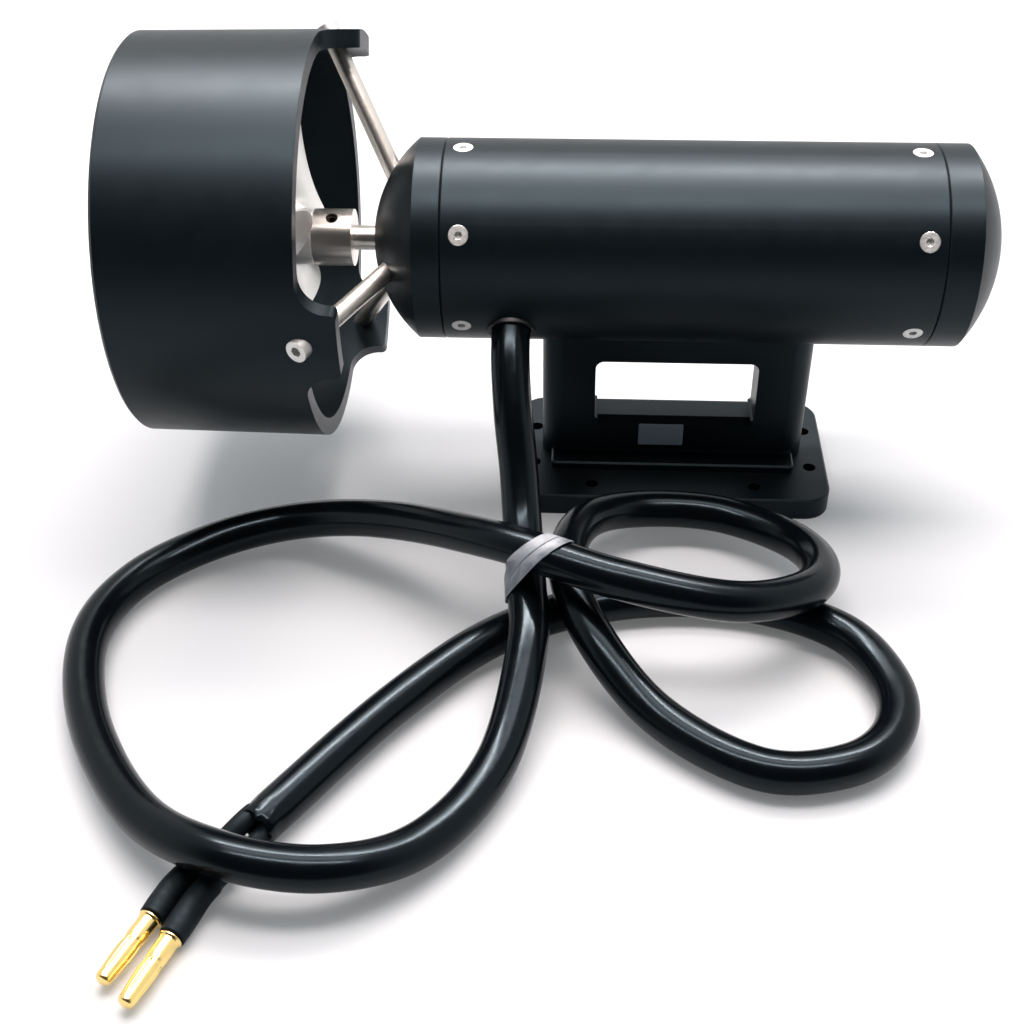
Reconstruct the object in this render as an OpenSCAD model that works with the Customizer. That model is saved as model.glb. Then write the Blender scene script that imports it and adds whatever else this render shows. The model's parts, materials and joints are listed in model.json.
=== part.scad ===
// Underwater thruster: a sealed electric motor on a pedestal drives a propeller inside a nozzle.
// The shaft runs along X at the height axis_h, the mounting face is Z = 0, +X points to the rear cap.

/* [Housing] */
// Outside diameter of the motor housing tube
housing_d = 65; // [62:0.5:80]
// Wall thickness of the housing tube
housing_wall = 5; // [4:0.25:6]
// Length of the housing tube between its two seams
housing_len = 156; // [150:1:180]
// Height of the shaft axis above the mounting surface
axis_h = 91; // [84:0.5:110]
// Chamfer along the tube's end edges
edge_chamfer = 0.4; // [0.2:0.1:0.8]

/* [End caps] */
// Width of the front cap's straight band
front_band = 8.8; // [7:0.2:14]
// Sphere radius of the front cap's dome
front_dome_r = 42.2; // [40.5:0.2:60]
// Width of the rear cap's straight band
rear_band = 10.5; // [7:0.5:16]
// Sphere radius of the rear cap's dome
rear_dome_r = 50; // [41:0.5:70]
// Length of each cap's spigot inside the tube
spigot_len = 17; // [16:0.5:20]
// Depth of the hollow behind the rear cap's spigot face
rear_hollow = 22; // [10:0.5:26]
// Wall of the rear cap's spigot round its hollow
rear_spigot_wall = 7.5; // [6:0.25:10]

/* [Cap screws] */
// Number of countersunk screws round each end
cap_screw_count = 6; // [4:1:8]
// Distance of the cap screws from the seam
cap_screw_inset = 6; // [5:0.25:7]
// Thread diameter of the cap screws
cap_screw_d = 3; // [2.5:0.5:4]
// Head diameter of the cap screws
cap_head_d = 6.4; // [5.5:0.1:7]
// Length of the cap screws
cap_screw_len = 10; // [8:0.5:11]

/* [Seals and bearings] */
// Section diameter of the O-rings
o_ring_d = 2; // [1.5:0.25:2.5]
// Distance of the outer O-ring groove from the seam
o_ring_inset = 10.2; // [9.5:0.1:11]
// Distance between the two O-rings of a cap
o_ring_pitch = 3.8; // [3.2:0.1:4.5]
// Outside diameter of the shaft lip seals
seal_d = 16; // [14:0.5:18]
// Width of one lip seal
seal_w = 5; // [4:0.25:6]
// Wall of a lip seal's case and lip
seal_t = 1; // [0.8:0.1:1.2]
// Solid nose of the front cap ahead of the seals
seal_nose = 10; // [9:0.25:11]
// Outside diameter of the ball bearings
bearing_d = 22; // [20:0.5:24]
// Width of the ball bearings
bearing_w = 7; // [6:0.25:8]
// Balls in one bearing
bearing_balls = 8; // [7:1:9]

/* [Shaft and propeller] */
// Diameter of the drive shaft
shaft_d = 8; // [6:0.5:9]
// Bare shaft between the front dome's nose and the hub collar
shaft_gap = 7; // [4:0.5:12]
// Diameter of the hub collar
collar_d = 18.6; // [16:0.2:22]
// Length of the hub collar
collar_len = 13; // [10:0.5:16]
// Angle of the collar's set screw, from the front side upwards
set_screw_angle = 70; // [0:5:180]
// Diameter of the set screw
set_screw_d = 4; // [3:0.5:5]
// Depth of the set screw below the collar's surface
set_screw_sink = 1; // [0.5:0.1:1.5]
// Diameter of the propeller over its blade tips
prop_d = 116; // [100:1:117]
// Number of propeller blades
blade_count = 3; // [2:1:5]
// Angle of the first blade, from the front side upwards
blade_angle = 118; // [0:1:360]
// Advance of the blades' roots in one turn
blade_pitch = 100; // [70:1:105]
// Advance of the blades' tips in one turn
blade_tip_pitch = 35; // [30:1:90]
// Blade chord where it leaves the boss
blade_root_chord = 23; // [18:0.5:24]
// Widest blade chord
blade_max_chord = 44; // [28:0.5:45]
// Blade thickness at the boss
blade_root_t = 4; // [3:0.1:5]
// Blade thickness at the tip
blade_tip_t = 1.6; // [1.2:0.1:2.5]
// Depth of the blade roots inside the boss
blade_sink = 1.5; // [1:0.1:2]
// Diameter of the propeller boss
boss_d = 18; // [16:0.2:22]
// Length of the propeller boss
boss_len = 24; // [20:0.5:30]
// Width across the flats of the propeller nut
nut_af = 13; // [11:0.5:15]
// Height of the propeller nut
nut_h = 7; // [5:0.25:9]
// Thickness of the washer under the nut
washer_t = 1.5; // [1:0.1:2.5]
// Diameter of the washer under the nut
washer_d = 14; // [12:0.5:16]
// Shaft end beyond the nut
shaft_tip = 2; // [1:0.25:4]

/* [Nozzle] */
// Bore of the nozzle
nozzle_bore = 120; // [119:0.5:135]
// Wall of the nozzle at its inlet rim
nozzle_wall = 5.6; // [5:0.1:7]
// Amount by which the outer radius shrinks towards the outlet
nozzle_taper = 0.8; // [0:0.1:2]
// Length of the nozzle without its lugs
nozzle_len = 60; // [50:0.5:70]
// Distance from the front seam of the housing to the nozzle's inlet rim
nozzle_gap = 39; // [37:0.5:48]
// Bevel round the outlet's outer edge
outlet_bevel = 1; // [0.5:0.1:2]
// Number of lugs, struts and strut screws
strut_count = 3; // [3:1:4]
// Angle of the first lug, from the front side upwards
strut_angle = -2; // [-15:1:15]
// Length of a lug beyond the inlet rim
lug_len = 11.5; // [11:0.5:16]
// Width of a lug round the rim
lug_w = 22.5; // [18:0.5:30]
// Radius of the hollow corners at a lug's root
lug_fillet = 9; // [3:0.5:9]
// Radius of a lug's outer corners
lug_corner = 2; // [1:0.5:4]
// Diameter of the strut rods
strut_d = 6; // [5:0.25:7]
// Distance from the shaft axis at which a strut enters the front dome
strut_cap_r = 21.6; // [19:0.2:24]
// Depth of a strut in the front cap
strut_seat = 8; // [6:0.5:9]
// Distance from the inlet rim to a strut's end, along the lug
strut_inset = 2.6; // [1:0.2:5]
// Depth of a strut in the nozzle wall
strut_socket = 2.2; // [1.5:0.1:2.6]
// Thickness of nozzle wall left under a strut screw's head
screw_land = 1.8; // [1.5:0.1:3]
// Thread diameter of the strut screws
strut_screw_d = 4; // [3:0.5:4]
// Length of the strut screws
strut_screw_len = 10; // [8:0.5:14]

/* [Pedestal and base] */
// Width of the pedestal along the shaft
pedestal_w = 93; // [80:0.5:100]
// Thickness of the pedestal's web
web_t = 14; // [12:0.5:20]
// Width of the window through the web
window_w = 56; // [40:0.5:60]
// Height of the window
window_h = 23.6; // [15:0.2:26]
// Height of the window sill above the mounting surface
window_z = 24.8; // [22:0.2:28]
// Radius of the window's upper corners
window_r = 3; // [2:0.5:6]
// Radius of the window's lower corners
sill_r = 1; // [0.5:0.25:2]
// Bevel along the sill's front and rear edges
sill_bevel = 2.5; // [1:0.25:3]
// Width of the pedestal's foot along the shaft
foot_w = 86; // [80:0.5:102]
// Depth of the foot across the shaft
foot_d = 30; // [26:0.5:34]
// Height of the foot above the base plate
foot_h = 3; // [2:0.25:5]
// Radius of the hollow between web and foot
foot_fillet = 1; // [0.5:0.25:5]
// Corner radius of the foot
foot_r = 2; // [1:0.5:8]
// Bevel along the upper edges of the foot and the base plate
plate_bevel = 0.6; // [0.3:0.1:1]
// Length of the base plate
plate_w = 110; // [108:0.5:130]
// Depth of the base plate
plate_d = 61; // [58:0.5:80]
// Thickness of the base plate
plate_t = 8; // [6:0.25:10]
// Corner radius of the base plate
plate_r = 9; // [4:0.5:12]
// Spacing along the shaft of the holes near the plate's ends
end_hole_x = 98; // [97:0.5:100]
// Spacing across the shaft of the holes near the plate's ends
end_hole_y = 22; // [16:0.5:36]
// Spacing along the shaft of the holes near the plate's long sides
side_hole_x = 57; // [40:0.5:70]
// Spacing across the shaft of the holes near the plate's long sides
side_hole_y = 46; // [44:0.5:48]
// Diameter of the mounting holes
mount_hole_d = 4.5; // [4:0.1:5.5]
// Thread diameter of the screws that hold the pedestal
foot_screw_d = 4; // [3:0.5:5]
// Head diameter of the screws that hold the pedestal
foot_head_d = 8; // [7:0.1:9]
// Spacing of the inner pair of foot screws
foot_screw_x = 26; // [20:0.5:40]
// Length of the screws that hold the pedestal
foot_screw_len = 18; // [14:0.5:20]

/* [Motor] */
// Room for the leads between the motor can and the housing
lead_room = 3.5; // [3:0.1:4.5]
// Wall of the motor can
can_wall = 3; // [2.5:0.25:3.5]
// Room between the motor's rear bell and the rear cap
rear_room = 2; // [1:0.25:4]
// Thickness of the motor's front plate
front_plate_t = 5; // [4:0.25:6]
// Thickness of the motor's rear bell
rear_bell_t = 9; // [8:0.25:11]
// Radial thickness of the field magnets
magnet_t = 3.4; // [3:0.1:4]
// Amount by which the field magnets overhang each end of the armature core
magnet_over = 4; // [0:0.5:5]
// Arc that each field magnet covers
magnet_arc = 140; // [100:5:160]
// Air gap between magnets and armature
air_gap = 0.8; // [0.5:0.1:1.2]
// Distance of the armature core from the can's front end
core_inset = 22; // [20:0.5:24]
// Slots in the armature core
slot_count = 12; // [8:1:14]
// Wall of the armature hub under the slots
hub_wall = 5.75; // [5:0.25:7]
// Width of the armature slots
slot_w = 3.2; // [2.5:0.1:3.4]
// Length of the coil heads at each end of the core
coil_head = 10; // [6:0.5:12]
// Amount by which the windings stay below the core's surface
coil_drop = 1.5; // [1:0.1:2]
// Amount by which the commutator stays below the core's surface
commutator_drop = 7.25; // [6.5:0.25:8]
// Length of the commutator
commutator_len = 12; // [11:0.5:14]
// Distance between the coil head and the commutator
commutator_gap = 2; // [1:0.25:3]
// Width of the slits between the commutator bars
bar_slit = 0.6; // [0.4:0.1:0.8]
// Depth of the slits between the commutator bars
bar_depth = 1.2; // [0.8:0.1:1.6]
// Width of a carbon brush along the commutator
brush_w = 8; // [6:0.5:9]
// Thickness of a carbon brush
brush_t = 5; // [4:0.25:6]
// Room between a carbon brush's outer end and the can
brush_room = 3.2; // [2:0.1:4]
// Room between the commutator and the rear bell
bell_room = 6; // [4:0.5:8]
// Number of screws that hold the motor
motor_screw_count = 3; // [2:1:4]
// Distance of the motor screws from the inside of the can
motor_screw_inset = 5; // [4.5:0.1:5.5]
// Thread diameter of the motor screws
motor_screw_d = 4; // [3:0.5:4]
// Length of the motor screws
motor_screw_len = 14; // [10:0.5:16]
// Diameter of the motor's inner leads
motor_lead_d = 2.4; // [1.8:0.1:2.6]

/* [Cable] */
// Diameter of the supply cable
cable_d = 12.5; // [8:0.25:12.5]
// Distance of the cable bush from the front seam
bush_inset = 22; // [20:0.5:25]
// Angle at which the cable leaves the housing, from the front side upwards
bush_angle = -34; // [-60:1:-30]
// Wall of the rubber bush round the cable
bush_wall = 1.2; // [1:0.1:1.6]
// Height of the bush's lip outside the housing
bush_lip = 0.3; // [0.2:0.1:2]
// Diameter of the lead sleeves
sleeve_d = 6.6; // [5:0.2:7]
// Diameter of the bullet plugs' pins
plug_d = 5; // [4:0.1:5.6]
// Free length of the bullet plugs
plug_len = 21; // [16:0.5:24]
// Length of the bullet plugs' collar
plug_collar = 1.6; // [1:0.1:2.5]
// Width of the slits in a bullet plug's belly
plug_slit = 0.4; // [0.3:0.1:0.6]
// Width of the cable tie
tie_w = 6; // [4:0.5:8]
// Thickness of the cable tie
tie_t = 0.8; // [0.6:0.1:1.2]

/* [Fits] */
// Radial gap between pieces that fit together and stay put
fit_gap = 0.05; // [0.03:0.01:0.08]
// Radial running gap of the shaft in its bearings and seals
run_gap = 0.03; // [0.02:0.01:0.05]
// Gap between the carbon brushes and the commutator
brush_gap = 0.3; // [0.2:0.05:0.5]
// Clearance of what passes through or past a piece with room to spare
clear_gap = 0.2; // [0.15:0.05:0.3]
// Gap round the cable in its bush and tie, and between the lead sleeves and the plugs
cable_gap = 0.3; // [0.2:0.05:0.5]

/* [Hidden] */
$fn = 64;

// Length by which a cut runs past the face it opens
over = 1;
// Depth by which a countersunk head lies under its surface
head_sink = 0.15;

// Colours of the finishes
anodised = "#171e25";
steel = "#c9cac8";
alloy = "#d9dadb";
rubber_black = "#101214";
brass_gold = "#d9ae3f";
copper = "#b4683a";

// Housing and seams
housing_r = housing_d / 2;
bore_r = housing_r - housing_wall;
seam = housing_len / 2;
spigot_r = bore_r - fit_gap;

// Domes: the sphere centres follow from the band widths
front_dome_x = -seam - front_band + sqrt(pow(front_dome_r, 2) - pow(housing_r, 2));
front_nose_x = front_dome_x - front_dome_r;
rear_dome_x = seam + rear_band - sqrt(pow(rear_dome_r, 2) - pow(housing_r, 2));
spigot_x = -seam + spigot_len;

// Cap screws and countersunk heads with a right-angled cone
screw_step = 360 / cap_screw_count;
cap_head_r = housing_r - head_sink;

// Screw proportions: hex sockets against the head or thread, and socket cap heads against the thread
flat_socket_ratio = 0.42;
cap_socket_ratio = 0.86;
set_socket_ratio = 0.57;
socket_depth_ratio = 0.4;
cap_head_ratio = 1.75;

// Groove width and bearing race proportions
groove_ratio = 1.2;
race_share = 0.3;

// Bearing and seal stack inside the front cap
seal_x = front_nose_x + seal_nose;
bearing_x = seal_x + 2 * seal_w;
shaft_r = shaft_d / 2;

// Motor stack along the shaft
plate_x = spigot_x;
can_x = plate_x + front_plate_t;
can_len = housing_len - 2 * spigot_len - front_plate_t - rear_bell_t - rear_room;
bell_x = can_x + can_len;
can_r = bore_r - lead_room;
can_in_r = can_r - can_wall;
motor_screw_r = can_in_r - motor_screw_inset;
magnet_in_r = can_in_r - fit_gap - magnet_t;
core_r = magnet_in_r - air_gap;
commutator_x = bell_x - bell_room - commutator_len;
core_x = can_x + core_inset;
core_end = commutator_x - commutator_gap - coil_head;
core_len = core_end - core_x;
magnet_x = core_x - magnet_over;
magnet_len = core_len + 2 * magnet_over;
coil_r = core_r - coil_drop;
hub_r = shaft_r + hub_wall;
slot_depth = core_r - hub_r;
commutator_r = core_r - commutator_drop;
brush_x = commutator_x + commutator_len / 2;
brush_r = commutator_r + brush_gap;
brush_len = can_in_r - brush_r - brush_room;
rear_bearing_x = bell_x;
lead_r = bore_r - motor_lead_d / 2 - clear_gap;
lead_turn = atan2(motor_lead_d / 2 + clear_gap, lead_r);
shaft_rear_x = rear_bearing_x + bearing_w;

// Propeller stack along the shaft, from the dome's nose to the outlet
collar_x = front_nose_x - shaft_gap - collar_len;
boss_x = collar_x - boss_len;
washer_x = boss_x - washer_t;
nut_x = washer_x - nut_h;
shaft_front_x = nut_x - shaft_tip;
blade_x = boss_x + boss_len / 2;
boss_r = boss_d / 2;
collar_r = collar_d / 2;
blade_root_r = boss_r - blade_sink;

// Blade form: the share of its span where the chord is widest, the share over which the tip is
// rounded, how much the tip's chord shrinks, the camber's part of the thickness, the thin edges
blade_full_share = 0.25;
tip_share = 0.2;
tip_loss_ratio = 0.55;
camber_share = 0.75;
edge_thin_ratio = 0.9;

// Nozzle and struts
inlet_x = -seam - nozzle_gap;
outlet_x = inlet_x - nozzle_len;
lug_x = inlet_x + lug_len;
nozzle_r = nozzle_bore / 2;
nozzle_out_r = nozzle_r + nozzle_wall;
strut_cap_x = front_dome_x - sqrt(pow(front_dome_r, 2) - pow(strut_cap_r, 2));
strut_nozzle_x = inlet_x + strut_inset;
strut_tilt = atan2(strut_cap_x - strut_nozzle_x, nozzle_r - strut_cap_r);
strut_span = (nozzle_r - strut_cap_r) / cos(strut_tilt);
strut_end = strut_span + strut_socket;
strut_head = strut_end + screw_land;
strut_step = 360 / strut_count;

// Pedestal and base
web_end = (pedestal_w - web_t) / 2;
foot_z = plate_t + foot_h;
column_x = (pedestal_w + window_w) / 4;
saddle_r = housing_r + fit_gap;

// Supply cable: it leaves the housing, runs down to the tie, makes a wide loop to the left,
// comes back over the tie, makes two loops to the right and ends near the front
cable_r = cable_d / 2;
bush_x = -seam + bush_inset;
bush_bore = cable_r + cable_gap;
bush_r = bush_bore + bush_wall;
cable_route = [
    [-56, -23.2, 75.3], [-56, -34.6, 67.2], [-54.7, -46.6, 55.6], [-52.4, -58.6, 41.3],
    [-50.6, -72.4, 29.4], [-48.6, -91.4, 21.3], [-47.3, -114.9, 16.7], [-54.5, -152.7, 7.7],
    [-72.3, -181.7, 7.6], [-96.3, -195.9, 13.3], [-124.6, -193.9, 15.2], [-151.8, -175.9, 9.6],
    [-175.4, -141.1, 6.5], [-185.2, -105.9, 6.5], [-177.4, -78.4, 6.5], [-154.3, -58.3, 7.5],
    [-125.3, -52.1, 11.9], [-92.8, -64.1, 22.6], [-54.9, -89.4, 35.4], [-21.3, -104.5, 35.4],
    [13.7, -105.8, 28.6], [36.9, -92.8, 21.9], [44.4, -74.7, 16.3], [37.4, -56.3, 12.2],
    [14.7, -42, 10.7], [-12, -42.2, 12.2], [-30.1, -55, 16.9], [-36.2, -79.4, 20.4],
    [-29.1, -106.8, 17.5], [-9, -132.2, 7.8], [19.6, -151.3, 6.5], [44.9, -149.2, 6.5],
    [59.5, -136.4, 6.5], [62.2, -116.7, 6.5], [49.8, -94.1, 6.5], [18.8, -81.4, 6.5],
    [-19.8, -82.9, 6.5], [-55.6, -98.6, 6.5], [-86.5, -130.9, 6.5], [-118.8, -177.9, 6.5]
];
// The two leads from the end of the jacket to their plugs
lead_routes = [
    [[-122.3, -177.9, 8.2], [-128, -184.5, 4.5], [-134.3, -194.4, 3.5], [-140.8, -206.4, 3.5]],
    [[-116.8, -180.2, 3.9], [-120.9, -187.2, 3.5], [-126.8, -198, 3.5], [-133.4, -212.4, 3.5]]
];
// Neck of a bullet plug against its belly
plug_neck_ratio = 0.84;
// Centre of the tie, the heading of its plane, and the plane's lean towards the front
tie_centre = [-43.3, -87.7, 27.1];
tie_heading = 40;
tie_lean = 20;
// The strands that the tie holds: two coordinates in its plane, then half the extra length of the
// oblique cut through the strand and the angle of that length
tie_strands = [[-4.9, -5.6, 3.1, 2], [-6.5, 9.8, 3, 45], [12.9, -7.7, 6.9, 156]];

// Vector helpers
function unit(v) = v / norm(v);
function flat(v) = unit([v[0], v[1], 0]);

// Catmull-Rom point between b and c, at t from 0 to 1
function between(a, b, c, d, t) =
    (2 * b + (c - a) * t + (2 * a - 5 * b + 4 * c - d) * t * t + (3 * b - a - 3 * c + d) * t * t * t) / 2;

// A route with one extra point in each stretch
function smooth(p) = let (n = len(p) - 1) [
    for (i = [0 : n - 1], t = [0, 0.5])
        between(p[max(i - 1, 0)], p[i], p[i + 1], p[min(i + 2, n)], t),
    p[n]
];

function tangent(p, i) = unit(p[min(i + 1, len(p) - 1)] - p[max(i - 1, 0)]);

// Side vectors carried along a route without twisting
function carried(p, side, i = 0) = i == len(p) ? [] :
    let (t = tangent(p, i), s = unit(side - (side * t) * t)) concat([s], carried(p, s, i + 1));

// Tube of radius r along the points p
module tube(p, r, sides) {
    s = carried(p, [1, 0, 0]);
    rings = len(p);
    points = [
        for (i = [0 : rings - 1], k = [0 : sides - 1])
            p[i] + r * (cos(360 * k / sides) * s[i] + sin(360 * k / sides) * cross(tangent(p, i), s[i]))
    ];
    walls = [
        for (i = [0 : rings - 2], k = [0 : sides - 1])
            let (a = i * sides, b = a + sides, n = (k + 1) % sides) [a + k, b + k, b + n, a + n]
    ];
    first = [for (k = [0 : sides - 1]) k];
    last = [for (k = [sides - 1 : -1 : 0]) (rings - 1) * sides + k];
    polyhedron(points, concat(walls, [first], [last]), convexity = 10);
}

// Places children with their Z axis along the shaft
module along_x() translate([0, 0, axis_h]) rotate([0, 90, 0]) children();

// Places children with their Z axis pointing out from the shaft at an angle from the front side upwards
module radial(angle, x) translate([x, 0, axis_h]) rotate([90 - angle, 0, 0]) children();

// Ring about the shaft axis from x0 to x1
module ring(x0, x1, outer, inner = 0) along_x() translate([0, 0, x0]) difference() {
    cylinder(h = x1 - x0, r = outer);
    if (inner > 0) translate([0, 0, -over]) cylinder(h = x1 - x0 + 2 * over, r = inner);
}

// Solid turned about the shaft axis from points [radius, x]
module turned(points) along_x() rotate_extrude() polygon(points);

// Material of a hollow corner of radius r between the X and Y axes
module hollow_corner(r) difference() {
    square(r);
    translate([r, r]) circle(r);
}

// Rectangle centred on the origin with round corners
module round_rect(w, d, r) difference() {
    square([w, d], center = true);
    for (sx = [-1, 1], sy = [-1, 1])
        translate([sx * w / 2, sy * d / 2]) scale([-sx, -sy]) hollow_corner(r);
}

// Slab with round corners, standing on Z = 0, with a bevel along its upper edges
module bevelled_slab(w, d, h, r, bevel) {
    module profile(across) polygon([
        [-across / 2, 0], [across / 2, 0], [across / 2, h - bevel],
        [across / 2 - bevel, h], [-across / 2 + bevel, h], [-across / 2, h - bevel]
    ]);
    rotate([90, 0, 90]) linear_extrude(w - 2 * r, center = true) profile(d);
    rotate([90, 0, 0]) linear_extrude(d - 2 * r, center = true) profile(w);
    for (sx = [-1, 1], sy = [-1, 1]) translate([sx * (w / 2 - r), sy * (d / 2 - r), 0])
        rotate_extrude() polygon([[0, 0], [r, 0], [r, h - bevel], [r - bevel, h], [0, h]]);
}

// Countersunk screw with its head's top at Z = 0 and its tip at Z = -length
module flat_screw(d, head, length) difference() {
    union() {
        translate([0, 0, -length]) cylinder(h = length, r = d / 2);
        translate([0, 0, -(head - d) / 2]) cylinder(h = (head - d) / 2, r1 = d / 2, r2 = head / 2);
    }
    translate([0, 0, -d * socket_depth_ratio]) cylinder(h = d, r = head * flat_socket_ratio / 2, $fn = 6);
}

// Hole for a countersunk screw, open upwards
module flat_screw_hole(d, head, length) {
    cone = (head - d) / 2;
    translate([0, 0, -length]) cylinder(h = length + over, r = d / 2 + fit_gap);
    translate([0, 0, -cone]) cylinder(h = cone, r1 = d / 2 + fit_gap, r2 = head / 2 + fit_gap);
    cylinder(h = head, r = head / 2 + fit_gap);
}

// Socket cap screw with its head standing on Z = 0 and its shank below
module cap_screw(d, length) difference() {
    union() {
        translate([0, 0, -length]) cylinder(h = length + d / 2, r = d / 2);
        cylinder(h = d, r = d * cap_head_ratio / 2);
    }
    translate([0, 0, d * socket_depth_ratio]) cylinder(h = d, r = d * cap_socket_ratio / 2, $fn = 6);
}

// Ball bearing from x to x + bearing_w, bored for the running shaft
module ball_bearing(x) {
    bore = shaft_r + run_gap;
    outer = bearing_d / 2 - fit_gap;
    race = (outer - bore) * race_share;
    middle = (outer + bore) / 2;
    ball_r = (outer - bore) / 2 - race - fit_gap;
    ring(x, x + bearing_w, outer, outer - race);
    ring(x, x + bearing_w, bore + race, bore);
    for (i = [0 : bearing_balls - 1])
        radial(i * 360 / bearing_balls, x + bearing_w / 2) translate([0, 0, middle]) sphere(r = ball_r);
}

// Holes of the cap screws of one end
module cap_screw_places(x) for (i = [0 : cap_screw_count - 1])
    radial(screw_step * (i + 0.5), x) translate([0, 0, cap_head_r]) children();

module motor_housing() color(anodised) difference() {
    turned([
        [bore_r, -seam], [housing_r - edge_chamfer, -seam], [housing_r, -seam + edge_chamfer],
        [housing_r, seam - edge_chamfer], [housing_r - edge_chamfer, seam], [bore_r, seam]
    ]);
    for (x = [-seam + cap_screw_inset, seam - cap_screw_inset])
        cap_screw_places(x) flat_screw_hole(cap_screw_d, cap_head_d, cap_screw_len);
    radial(bush_angle, bush_x) cylinder(h = housing_d, r = bush_r + fit_gap);
    saddle_screw_places() flat_screw_hole(foot_screw_d, foot_head_d, foot_screw_len);
}

// Cap of either end: band, dome and spigot
module cap_blank(side, dome_x, dome_r) {
    intersection() {
        turned([
            [0, side * seam], [housing_r - edge_chamfer, side * seam],
            [housing_r, side * (seam + edge_chamfer)], [housing_r, side * (seam + dome_r)],
            [0, side * (seam + dome_r)]
        ]);
        along_x() translate([0, 0, dome_x]) sphere(r = dome_r);
    }
    spigot_end = seam - spigot_len;
    ring(min(side * seam, side * spigot_end), max(side * seam, side * spigot_end), spigot_r);
}

// The two O-ring grooves of a cap
module o_ring_grooves(side) for (i = [0, 1]) {
    x = side * (seam - o_ring_inset - i * o_ring_pitch);
    half = o_ring_d * groove_ratio / 2;
    ring(x - half, x + half, bore_r + over, bore_r - o_ring_d);
}

module o_rings(side) color(rubber_black) for (i = [0, 1])
    along_x() translate([0, 0, side * (seam - o_ring_inset - i * o_ring_pitch)])
        rotate_extrude() translate([bore_r - o_ring_d / 2, 0]) circle(r = o_ring_d / 2 - fit_gap);

module front_cap() color(anodised) difference() {
    cap_blank(-1, front_dome_x, front_dome_r);
    ring(front_nose_x - over, spigot_x + over, shaft_r + clear_gap);
    ring(seal_x, spigot_x + over, seal_d / 2);
    ring(bearing_x, spigot_x + over, bearing_d / 2);
    o_ring_grooves(-1);
    cap_screw_places(-seam + cap_screw_inset)
        flat_screw_hole(cap_screw_d, cap_head_d, cap_screw_len + over);
    for (k = [0 : strut_count - 1])
        strut_place(k) translate([0, 0, -strut_seat]) cylinder(h = strut_span, r = strut_d / 2 + fit_gap);
    motor_screw_places() translate([0, 0, -motor_screw_len - over])
        cylinder(h = motor_screw_len + 2 * over, r = motor_screw_d / 2 + fit_gap);
}

module rear_cap() color(anodised) difference() {
    cap_blank(1, rear_dome_x, rear_dome_r);
    ring(seam - spigot_len - over, seam - spigot_len + rear_hollow, bore_r - rear_spigot_wall);
    o_ring_grooves(1);
    cap_screw_places(seam - cap_screw_inset)
        flat_screw_hole(cap_screw_d, cap_head_d, cap_screw_len + over);
}

module front_cap_screws() color(steel)
    cap_screw_places(-seam + cap_screw_inset) flat_screw(cap_screw_d, cap_head_d, cap_screw_len);

module rear_cap_screws() color(steel)
    cap_screw_places(seam - cap_screw_inset) flat_screw(cap_screw_d, cap_head_d, cap_screw_len);

module front_o_rings() o_rings(-1);

module rear_o_rings() o_rings(1);

// Two lip seals, each a case with a sprung lip that leans along the shaft
module shaft_seals() color(rubber_black) for (i = [0, 1]) {
    x = seal_x + i * seal_w;
    outer = seal_d / 2 - fit_gap;
    lip = shaft_r + run_gap;
    back = x + seal_w - fit_gap;
    web = x + seal_t * 1.5;
    lip_end = x + seal_w - seal_t;
    turned([
        [lip, x + seal_t], [lip + seal_t, x], [outer, x], [outer, back], [outer - seal_t, back],
        [outer - seal_t, web], [lip + seal_t, web], [lip + seal_t, lip_end], [lip + seal_t / 3, lip_end]
    ]);
}

module front_bearing() color(steel) ball_bearing(bearing_x);

module rear_bearing() color(steel) ball_bearing(rear_bearing_x);

// Places of the motor screws on the inside of the front plate
module motor_screw_places() for (i = [0 : motor_screw_count - 1])
    translate([can_x, 0, axis_h]) rotate([i * 360 / motor_screw_count, 0, 0])
        translate([0, 0, motor_screw_r]) rotate([0, 90, 0]) children();

module motor_front_plate() color(steel) difference() {
    ring(plate_x, can_x, can_r, shaft_r + over);
    motor_screw_places() translate([0, 0, -motor_screw_len])
        cylinder(h = motor_screw_len + over, r = motor_screw_d / 2 + fit_gap);
}

module motor_screws() color(steel) motor_screw_places() cap_screw(motor_screw_d, motor_screw_len);

module motor_can() color(steel) ring(can_x, bell_x, can_r, can_in_r);

module motor_rear_bell() color(alloy) difference() {
    ring(bell_x, bell_x + rear_bell_t, can_r);
    ring(bell_x - over, bell_x + bearing_w, bearing_d / 2);
}

// Two curved magnets with a gap between them at the top and bottom
module field_magnets() color("#3a3c3e") along_x() translate([0, 0, magnet_x]) for (turn = [0, 180])
    rotate([0, 0, turn + 90 - magnet_arc / 2]) rotate_extrude(angle = magnet_arc)
        translate([magnet_in_r, 0]) square([magnet_t, magnet_len]);

// Places a brush at the front and at the back of the commutator, its length along Z
module brush_places() for (angle = [0, 180]) radial(angle, brush_x) translate([0, 0, brush_r]) children();

module brush_holders() color(brass_gold) brush_places() difference() {
    wall = 1.5;
    lift = 1.2;
    translate([-brush_w / 2 - wall, -brush_t / 2 - wall, lift])
        cube([bell_x - brush_x + brush_w / 2 + wall, brush_t + 2 * wall, brush_len - lift]);
    translate([-brush_w / 2 - fit_gap, -brush_t / 2 - fit_gap, -over])
        cube([brush_w + 2 * fit_gap, brush_t + 2 * fit_gap, brush_len + 2 * over]);
}

// Carbon brushes with a hollow end that follows the commutator
module carbon_brushes() color("#2b2b2c") difference() {
    brush_places() translate([-brush_w / 2, -brush_t / 2, -over]) cube([brush_w, brush_t, brush_len + over]);
    ring(brush_x - brush_w, brush_x + brush_w, brush_r);
}

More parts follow.
